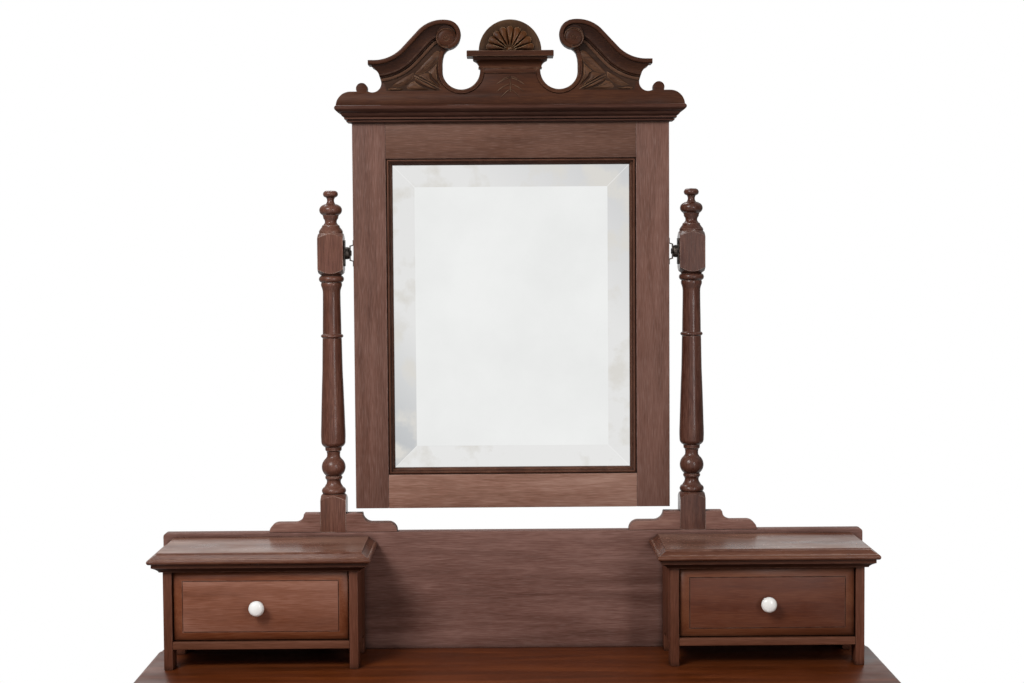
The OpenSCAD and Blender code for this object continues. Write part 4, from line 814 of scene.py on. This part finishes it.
def run_moulding(name, stations, section):
    """Runs a moulding along stations of (x, height, turn in degrees). The section lists
    (down from the edge, out from the board) points at the first station."""
    x0, h0, turn0 = stations[0]
    down = math.radians(turn0 - 90)
    ring = [(x0 + w * math.cos(down), ped_face - t, ped_low + h0 + w * math.sin(down)) for w, t in section]
    piece = drawn(name, ring)
    for (xa, ha, ta), (xb, hb, tb) in zip(stations, stations[1:]):
        draw_out(xb - xa, 0, hb - ha)
        bpy.ops.transform.rotate(value=math.radians(tb - ta), orient_axis="Y",
                                 center_override=(mm(xb), 0, mm(ped_low + hb)))
    return piece


def along(points, a0, a1, tilt):
    """Stations on an arc, with the turn of the moulding at each."""
    n = len(points) - 1
    return [(x, h, a0 + (a1 - a0) * i / n + tilt) for i, (x, h) in enumerate(points)]


lower_run = [(neck_end, end_h, 0)] + along(bend(lower_c[0], lower_c[1], lower_r, 270, meet + 180, 18), 270,
                                           meet + 180, -270)
upper_run = along(bend(upper_c[0], upper_c[1], upper_r, meet, 100, 18), meet, 100, -90)
roll_run = along(bend(head[0], head[1], head_r, 100, 262, 26), 100, 262, -90)
neck_run = lower_run + upper_run[1:]
nose_section = [(0.4, 0), (0, 0.8), (0, 12.4), (0.5, 13.5), (1.6, 14), (5.2, 14), (6.3, 13.5), (7, 12.4), (7, 0)]
cove_section = [(6.6, 0), (6.6, 10.6), (8.4, 9.8), (10.2, 9), (12.4, 8.1), (15, 7.2), (17.6, 6.5), (20, 6.2),
                (21.4, 6.2), (21.9, 6.8), (23, 7), (24, 6.6), (24.6, 5.6), (24.9, 4.2), (26, 3.8), (26, 0)]
neck_wood = hardwood("swan neck wood", (26, 8, 4), (42, 19, 8), (63, 34, 17), (130, 98, 80), along="X",
                     place=(0.6, 0, 0.25), rough=(0.38, 0.54), haze=(84, 50, 32))
fillet_wood = hardwood("swan neck fillet wood", (62, 38, 26), (80, 53, 38), (100, 72, 54), (160, 130, 106),
                       along="X", place=(0.6, 0, 0.65), rough=(0.4, 0.56), haze=(112, 78, 56))
carving_wood = hardwood("carved leaf wood", (48, 28, 17), (73, 47, 32), (103, 72, 53), (158, 120, 88),
                        along="X", place=(0.1, 0, 0.55), rough=(0.36, 0.5), relief=0.2, shade=0.9,
                        haze=(120, 84, 58), rub=0.7)
ground_and_shade_wood = hardwood("dark carved ground", (30, 16, 9), (44, 25, 15), (60, 37, 23), (88, 62, 44), along="X",
                       place=(0.7, 0, 0.5), rough=(0.5, 0.66), relief=0.4)
return_line = [(216, 59.98)] + end_steps + [(193, 40.6), (191.7, 37), (190.4, 30), (188, 20), (216, 20)]


def returned(piece):
    """Saws the outer end of a moulding back to its returned profile."""
    tool = sawn("return cutter", [(x, ped_face - 20, ped_low + h) for x, h in return_line], (0, 40, 0))
    close_piece(tool)
    saw(piece, tool)


nose = run_moulding("right_neck_nose", neck_run + roll_run[1:], nose_section)
close_piece(nose, smooth=38)
cove = run_moulding("right_neck_hollow", neck_run, cove_section)
close_piece(cove, smooth=38)
returned(cove)
bpy.ops.object.shade_smooth_by_angle(angle=math.radians(38))
fillet = run_moulding("right_neck_fillet", neck_run, [(27, 0), (27, 2), (27.6, 2.6), (30.8, 2.6), (31.6, 2),
                                                      (31.8, 0)])
close_piece(fillet, smooth=38)
returned(fillet)
disc_line = [(15.2, -1), (15.2, 11), (14.8, 11.9), (14, 12.4), (13.2, 12.1), (12.8, 11.2), (12.3, 11.2),
             (11.9, 12), (11, 12.5), (8, 12.9), (4.6, 13), (3.8, 12.4), (3, 12.4), (2.2, 13), (0.3, 13.2)]
disc = turned("right_scroll_roundel", 0, 0, disc_line, steps=48)
laid_forward(disc, head[0], ped_face, ped_low + head[1] - 5.3)
close_piece(disc, smooth=30)
bed = turned("right_scroll_bed", 0, 0, [(14.4, -0.5), (14.4, 8.6), (13.6, 9.4), (0.4, 9.6)], steps=48)
laid_forward(bed, head[0], ped_face, ped_low + head[1])
close_piece(bed, smooth=30)
for piece, wood in ((nose, carved_wood), (cove, neck_wood), (bed, neck_wood), (fillet, fillet_wood)):
    dress_both(piece, wood, "mirror", "show_wood", "right_swan_neck")
dress_both(disc, carved_wood, "mirror", "show_wood", "scroll_roundels")

# The border round each opening, the leaves of the panels and the sprig on the pedestal are
# carved in low relief on the face of the board.
border_run = (along(bend(notch_x, notch_h, notch_r, 175, 360, 30), 175, 360, 90)
              + [(100.8, 60, 450), (100.3, 68, 455), (98.9, 74.5, 464), (96.8, 79, 476)])
border = run_moulding("right_opening_border", border_run,
                      [(0.8, -0.5), (0.8, 1.2), (1.6, 1.9), (5.6, 1.9), (6.4, 1.2), (6.8, 0.6), (7, -0.5)])
close_piece(border, smooth=38)
strip = squared("pedestal_border", -38.5, 38.5, ped_face - 1.9, ped_face + 0.5, ped_low + 47.6, ped_low + 54.6)
close_piece(strip, soften=0.7)
# A thin dark sheet on the panel behind the leaves: the carving's darker punched ground, and painted shade between
# the leaves.
ground_line = ([(105.5, 22.6), (107.6, 30), (108.4, 48), (107.8, 66), (105, 80)]
               + bend(upper_c[0], upper_c[1], upper_r - 31, 92, meet, 10)
               + bend(lower_c[0], lower_c[1], lower_r + 31, meet + 180, 262, 10)[1:] + [(186, 30), (184, 22.6)])
ground = sawn("right_panel_ground", [(x, ped_face, ped_low + h) for x, h in ground_line], (0, -0.35, 0))
close_piece(ground)
dress_both(ground, ground_and_shade_wood, "mirror", "show_wood", "pediment_board")


def carved(name, outline, face, rise, slope):
    """A carved leaf: an outline on the panel with its sides sloping up to a rounded back."""
    piece = drawn(name, [(x, ped_face + face, ped_low + h) for x, h in outline])
    draw_out(0, -0.5 - rise * 0.25, 0)
    for part, lift in ((0.35, 0.4), (0.35, 0.25), (0.25, 0.1)):
        draw_out(0, -rise * lift, 0)
        bpy.ops.transform.resize(value=(1 - slope * part, 1, 1 - slope * part))
    return close_piece(piece, smooth=45)


leaves = [
    [(107.5, 81.2), (103, 77.6), (105, 70), (107.2, 65.9), (111.4, 62.6), (118.9, 54.6), (127.6, 48.9),
     (136.6, 46.4), (142.2, 47), (138.1, 52.4), (129.1, 62.4), (120.2, 71.8), (112.7, 78.8)],
    [(109.6, 61.4), (108.4, 51.9), (108, 41.6), (105.2, 34), (102.4, 28.4), (109.9, 35), (116.6, 41.9),
     (118.2, 48), (121.6, 50.2), (115.9, 54.8)],
    [(136, 45.2), (129.1, 47.6), (122.4, 48.5), (119.8, 47.1), (118.3, 40.9), (111.9, 34.3), (105.4, 27),
     (117.4, 33.9), (129.4, 40.6)],
    [(142.4, 45.6), (122, 35.6), (102.4, 25), (102.6, 23.4), (122.6, 33.4), (142.8, 43.4)],
    [(141.4, 41.4), (129.1, 35), (115.9, 28), (107, 23.3), (112, 23.3), (121.7, 26.4), (132.1, 31.5), (141, 36.6)],
    [(154, 27.6), (148.6, 34), (142.2, 36.4), (135.1, 30.8), (127.6, 26.6), (119, 23.6), (140, 23.2), (152, 25)],
    [(176, 29.6), (166, 37.4), (152, 45.6), (143.6, 49.4), (144.2, 41.6), (149.6, 36.4), (155.3, 31.6),
     (166.5, 27.4)],
    [(182, 25.4), (176, 27.4), (166, 25.4), (158, 25.6), (162, 23.4), (180, 23.2)],
]
carvings = [carved("right_panel_leaf_%d" % (i + 1), line, 0.5, 2.4, 0.5) for i, line in enumerate(leaves)]
vein_ends = ((106, 72, 136, 49.5), (107, 33, 112.5, 56), (110, 31, 128, 44.5), (126, 26, 147, 33),
             (148, 41, 170, 31))
for i, (xa, ha, xb, hb) in enumerate(vein_ends):
    dx, dh = xb - xa, hb - ha
    size = math.hypot(dx, dh)
    nx, nh = -dh / size * 0.7, dx / size * 0.7
    vein = [(xa, ha), (xa + dx * 0.5 + nx, ha + dh * 0.5 + nh), (xb, hb), (xa + dx * 0.5 - nx, ha + dh * 0.5 - nh)]
    carvings.append(carved("right_leaf_vein_%d" % (i + 1), vein, 0.5, 3.4, 0.5))
dress_both(border, carved_wood, "mirror", "show_wood", "pediment_board")
for piece in carvings:
    dress_both(piece, carving_wood, "mirror", "show_wood", "pediment_board")
dress(strip, carved_wood, "mirror", "show_wood", "pediment_board")
sprig_ends = ((0.5, 41, 22, 30.5, 3), (0.5, 32, 20.5, 20.5, 3), (0.5, 24, 14.5, 11.5, 2),
              (0.3, 43, 13.5, 37.5, 1.5))
for i, (xa, ha, xb, hb, sag) in enumerate(sprig_ends):
    edges = [[(xa + (xb - xa) * t, ha + (hb - ha) * t + sag * 4 * t * (1 - t) * 0.6 + half * math.sin(math.pi * t))
              for t in steps] for half, steps in ((0.55, [k / 8 for k in range(9)]),
                                                  (-0.55, [k / 8 for k in range(7, 0, -1)]))]
    twig = carved("right_sprig_leaf_%d" % (i + 1), edges[0] + edges[1], 0.5, 0.9, 0.3)
    dress_both(twig, fillet_wood, "mirror", "show_wood", "pediment_board")
stem = carved("sprig_stem", [(-0.4, 20), (0.4, 20), (0.5, 32), (0, 44), (-0.5, 32)], 0.5, 0.9, 0.3)
dress(stem, fillet_wood, "mirror", "show_wood", "pediment_board")

# Pedestal cap and fan
# A moulded cap with a projecting shelf closes the pedestal, and a half-round crest carved with
# a fan of nine petals inside a raised rim stands on it.
cap_edge = [(0, 0), (1.2, 0), (1.5, 0.4), (1.4, 1.4), (0.8, 2), (0.8, 3.2), (1.1, 4.6), (1.6, 5.8), (2.5, 7.4),
            (4, 9.2), (5.8, 10.6), (7.6, 11.5), (8.8, 12), (9.5, 13), (9.6, 16.2), (18, 16.2), (18.5, 16.7),
            (18.5, 23.9), (17.5, 24.9)]
cap = moulded("moulded_pedestal_cap", -45.8, 45.8, ped_face, ped_face + 20, ped_low + 54.8, cap_edge)
close_piece(cap, smooth=40)
dress(cap, carved_wood, "mirror", "show_wood", "pedestal_cap")

fan_low, fan_petals = 79.7, 9
lo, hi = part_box("fan_crest")
fan_face = lo.y * 1000 - ped_face
crest_line = bend(0, fan_low, 46.5, 0, 180, 40)
crest = drawn("fan_crest_board", [(x, hi.y * 1000, ped_low + h) for x, h in crest_line])
draw_out(0, (lo.y - hi.y) * 1000, 0)
bpy.ops.mesh.normals_make_consistent(inside=False)
for shrink, sink in ((0.925, 0), (0.905, 2.2), (0.80, 2.5), (0.79, 2.0)):
    draw_out(0, sink, 0)
    bpy.ops.transform.resize(value=(shrink, 1, shrink), center_override=(0, 0, mm(ped_low + fan_low)))
close_piece(crest, smooth=30)
fan_ground = hardwood("fan ground wood", (42, 26, 16), (62, 41, 26), (84, 60, 40), (136, 108, 80), along="Z",
                      place=(0.4, 0, 0.35), rough=(0.42, 0.58), relief=0.3, shade=0.9, haze=(110, 78, 52))
fan_wood = hardwood("fan wood", (51, 25, 10), (75, 41, 18), (103, 60, 29), (176, 148, 116), along="Z",
                    place=(0.1, 0, 0.35), rough=(0.34, 0.5), relief=0.2, rub=0.9, shade=0.9,
                    haze=(130, 94, 60))
dress(crest, fan_ground, "mirror", "show_wood", "fan_crest")
petal_line = [(5.5, -0.9), (14, -2.3), (24, -4.2), (30, -5.3)] + bend(30.5, 0, 5.4, -80, 80, 10) + [
    (30, 5.3), (24, 4.2), (14, 2.3), (5.5, 0.9)]
for i in range(fan_petals):
    a = math.radians((i + 0.5) * 180 / fan_petals)
    line = [(x * math.cos(a) - y * math.sin(a), fan_low + 1.2 + x * math.sin(a) + y * math.cos(a))
            for x, y in petal_line]
    petal = carved("fan_petal_%d" % (i + 1), line, fan_face + 3.0, 3.6, 0.62)
    dress(petal, fan_wood, "mirror", "show_wood", "fan_crest")
eye = carved("fan_eye", bend(0, fan_low + 0.3, 6.5, 0, 180, 14), fan_face + 3.0, 5.4, 0.7)
dress(eye, fan_wood, "mirror", "show_wood", "fan_crest")

# Studio
# A plain pale floor, soft light from the front and left, and the camera where the photograph
# was taken from. The background is white to the camera, to glass and to polished wood.
floor = start_piece("studio_floor", bpy.ops.mesh.primitive_circle_add, vertices=96, radius=2.1,
                    fill_type="NGON", location=(0, 0, 0))
bpy.ops.mesh.inset(thickness=0.9)
close_piece(floor)
paper, tree, shader, where = start_finish("pale paper")
give(tree, shader, Roughness=0.9,
     Base_Color=toned(tree, clouds(tree, where, 3, 2), (0, (238, 238, 238)), (1, (246, 246, 246))))
far = add_step(tree, "VectorMath", {0: where}, operation="LENGTH").outputs["Value"]
fade = add_step(tree, "MapRange", {"Value": far, "From Min": 0.95, "From Max": 2.0},
                interpolation_type="SMOOTHSTEP").outputs["Result"]
glow = add_step(tree, "Emission", {})
surface = add_step(tree, "MixShader", {"Fac": fade, 1: shader.outputs[0], 2: glow.outputs[0]})
tree.links.new(surface.outputs[0], tree.nodes["Material Output"].inputs["Surface"])
finish_with(floor, paper)

# To polished wood the room is white only straight ahead and behind, and warm and dim elsewhere,
# a little brighter above and below.
world = bpy.data.worlds.new("studio")
bpy.context.scene.world = world
world.use_nodes = True
tree = world.node_tree
rays = add_step(tree, "LightPath", {}).outputs
toward = add_step(tree, "TexCoord", {}).outputs["Generated"]
aim = add_step(tree, "SeparateXYZ", {"Vector": toward}).outputs
ahead_wall, back_wall = ramp_up(tree, aim["Y"], -0.78, -0.92), ramp_up(tree, aim["Y"], 0.86, 0.95, 0.0, 0.9)
walls = reckon(tree, "MAXIMUM", ahead_wall, back_wall)
mirrored = reckon(tree, "MULTIPLY", rays["Is Glossy Ray"], walls)
straight = reckon(tree, "MAXIMUM", rays["Is Camera Ray"], mirrored)
seen = reckon(tree, "MAXIMUM", straight, rays["Is Transmission Ray"])
overhead = ramp_up(tree, reckon(tree, "ABSOLUTE", aim["Z"]), 0.25, 0.65, 0.0, 0.42)
lift = reckon(tree, "MULTIPLY", overhead, rays["Is Glossy Ray"])
room = tree.nodes["Background"]
give(tree, room, Color=(1.0, 0.97, 0.93, 1.0), Strength=reckon(tree, "ADD", lift, 0.24))
white = add_step(tree, "Background", {"Color": (1, 1, 1, 1), "Strength": 1.0})
pick = add_step(tree, "MixShader", {"Fac": seen, 1: room.outputs[0], 2: white.outputs[0]})
tree.links.new(pick.outputs[0], tree.nodes["World Output"].inputs["Surface"])


def soft_box(name, place, aim, width, height, power):
    """A large soft lamp that points at one place."""
    light = bpy.data.lights.new(name, "AREA")
    light.shape = "RECTANGLE"
    light.size, light.size_y, light.energy = width, height, power
    lamp = bpy.data.objects.new(name, light)
    bpy.context.scene.collection.objects.link(lamp)
    lamp.location = place
    lamp.rotation_euler = (Vector(aim) - Vector(place)).to_track_quat("-Z", "Y").to_euler()


soft_box("left_soft_box", (-1.5, -2.1, 2.9), (0, 0.1, 1.15), 1.0, 1.0, 74)
soft_box("right_soft_box", (1.3, -2.6, 1.7), (0, 0.1, 1.2), 0.35, 1.5, 22)
soft_box("top_soft_box", (-0.5, 1.1, 3.0), (-0.1, 0.15, 0.9), 1.2, 0.8, 22)

camera = bpy.data.objects.new("photo_camera", bpy.data.cameras.new("photo_camera"))
bpy.context.scene.collection.objects.link(camera)
camera.data.sensor_width = 36.0
camera.data.lens = 62.26
camera.data.clip_start = 0.05
yaw, pitch, roll = math.radians(0.314), math.radians(2.994), math.radians(-0.38)
ahead = Vector((math.sin(yaw) * math.cos(pitch), math.cos(yaw) * math.cos(pitch), -math.sin(pitch)))
level = Vector((math.cos(yaw), -math.sin(yaw), 0))
plumb = level.cross(ahead)
aside = level * math.cos(roll) + plumb * math.sin(roll)
above = plumb * math.cos(roll) - level * math.sin(roll)
turn = Matrix((aside, above, -ahead)).transposed().to_4x4()
camera.matrix_world = Matrix.Translation((-0.0145, -2.4193, 1.3589)) @ turn
bpy.context.scene.camera = camera
bpy.context.scene.view_settings.view_transform = "Standard"
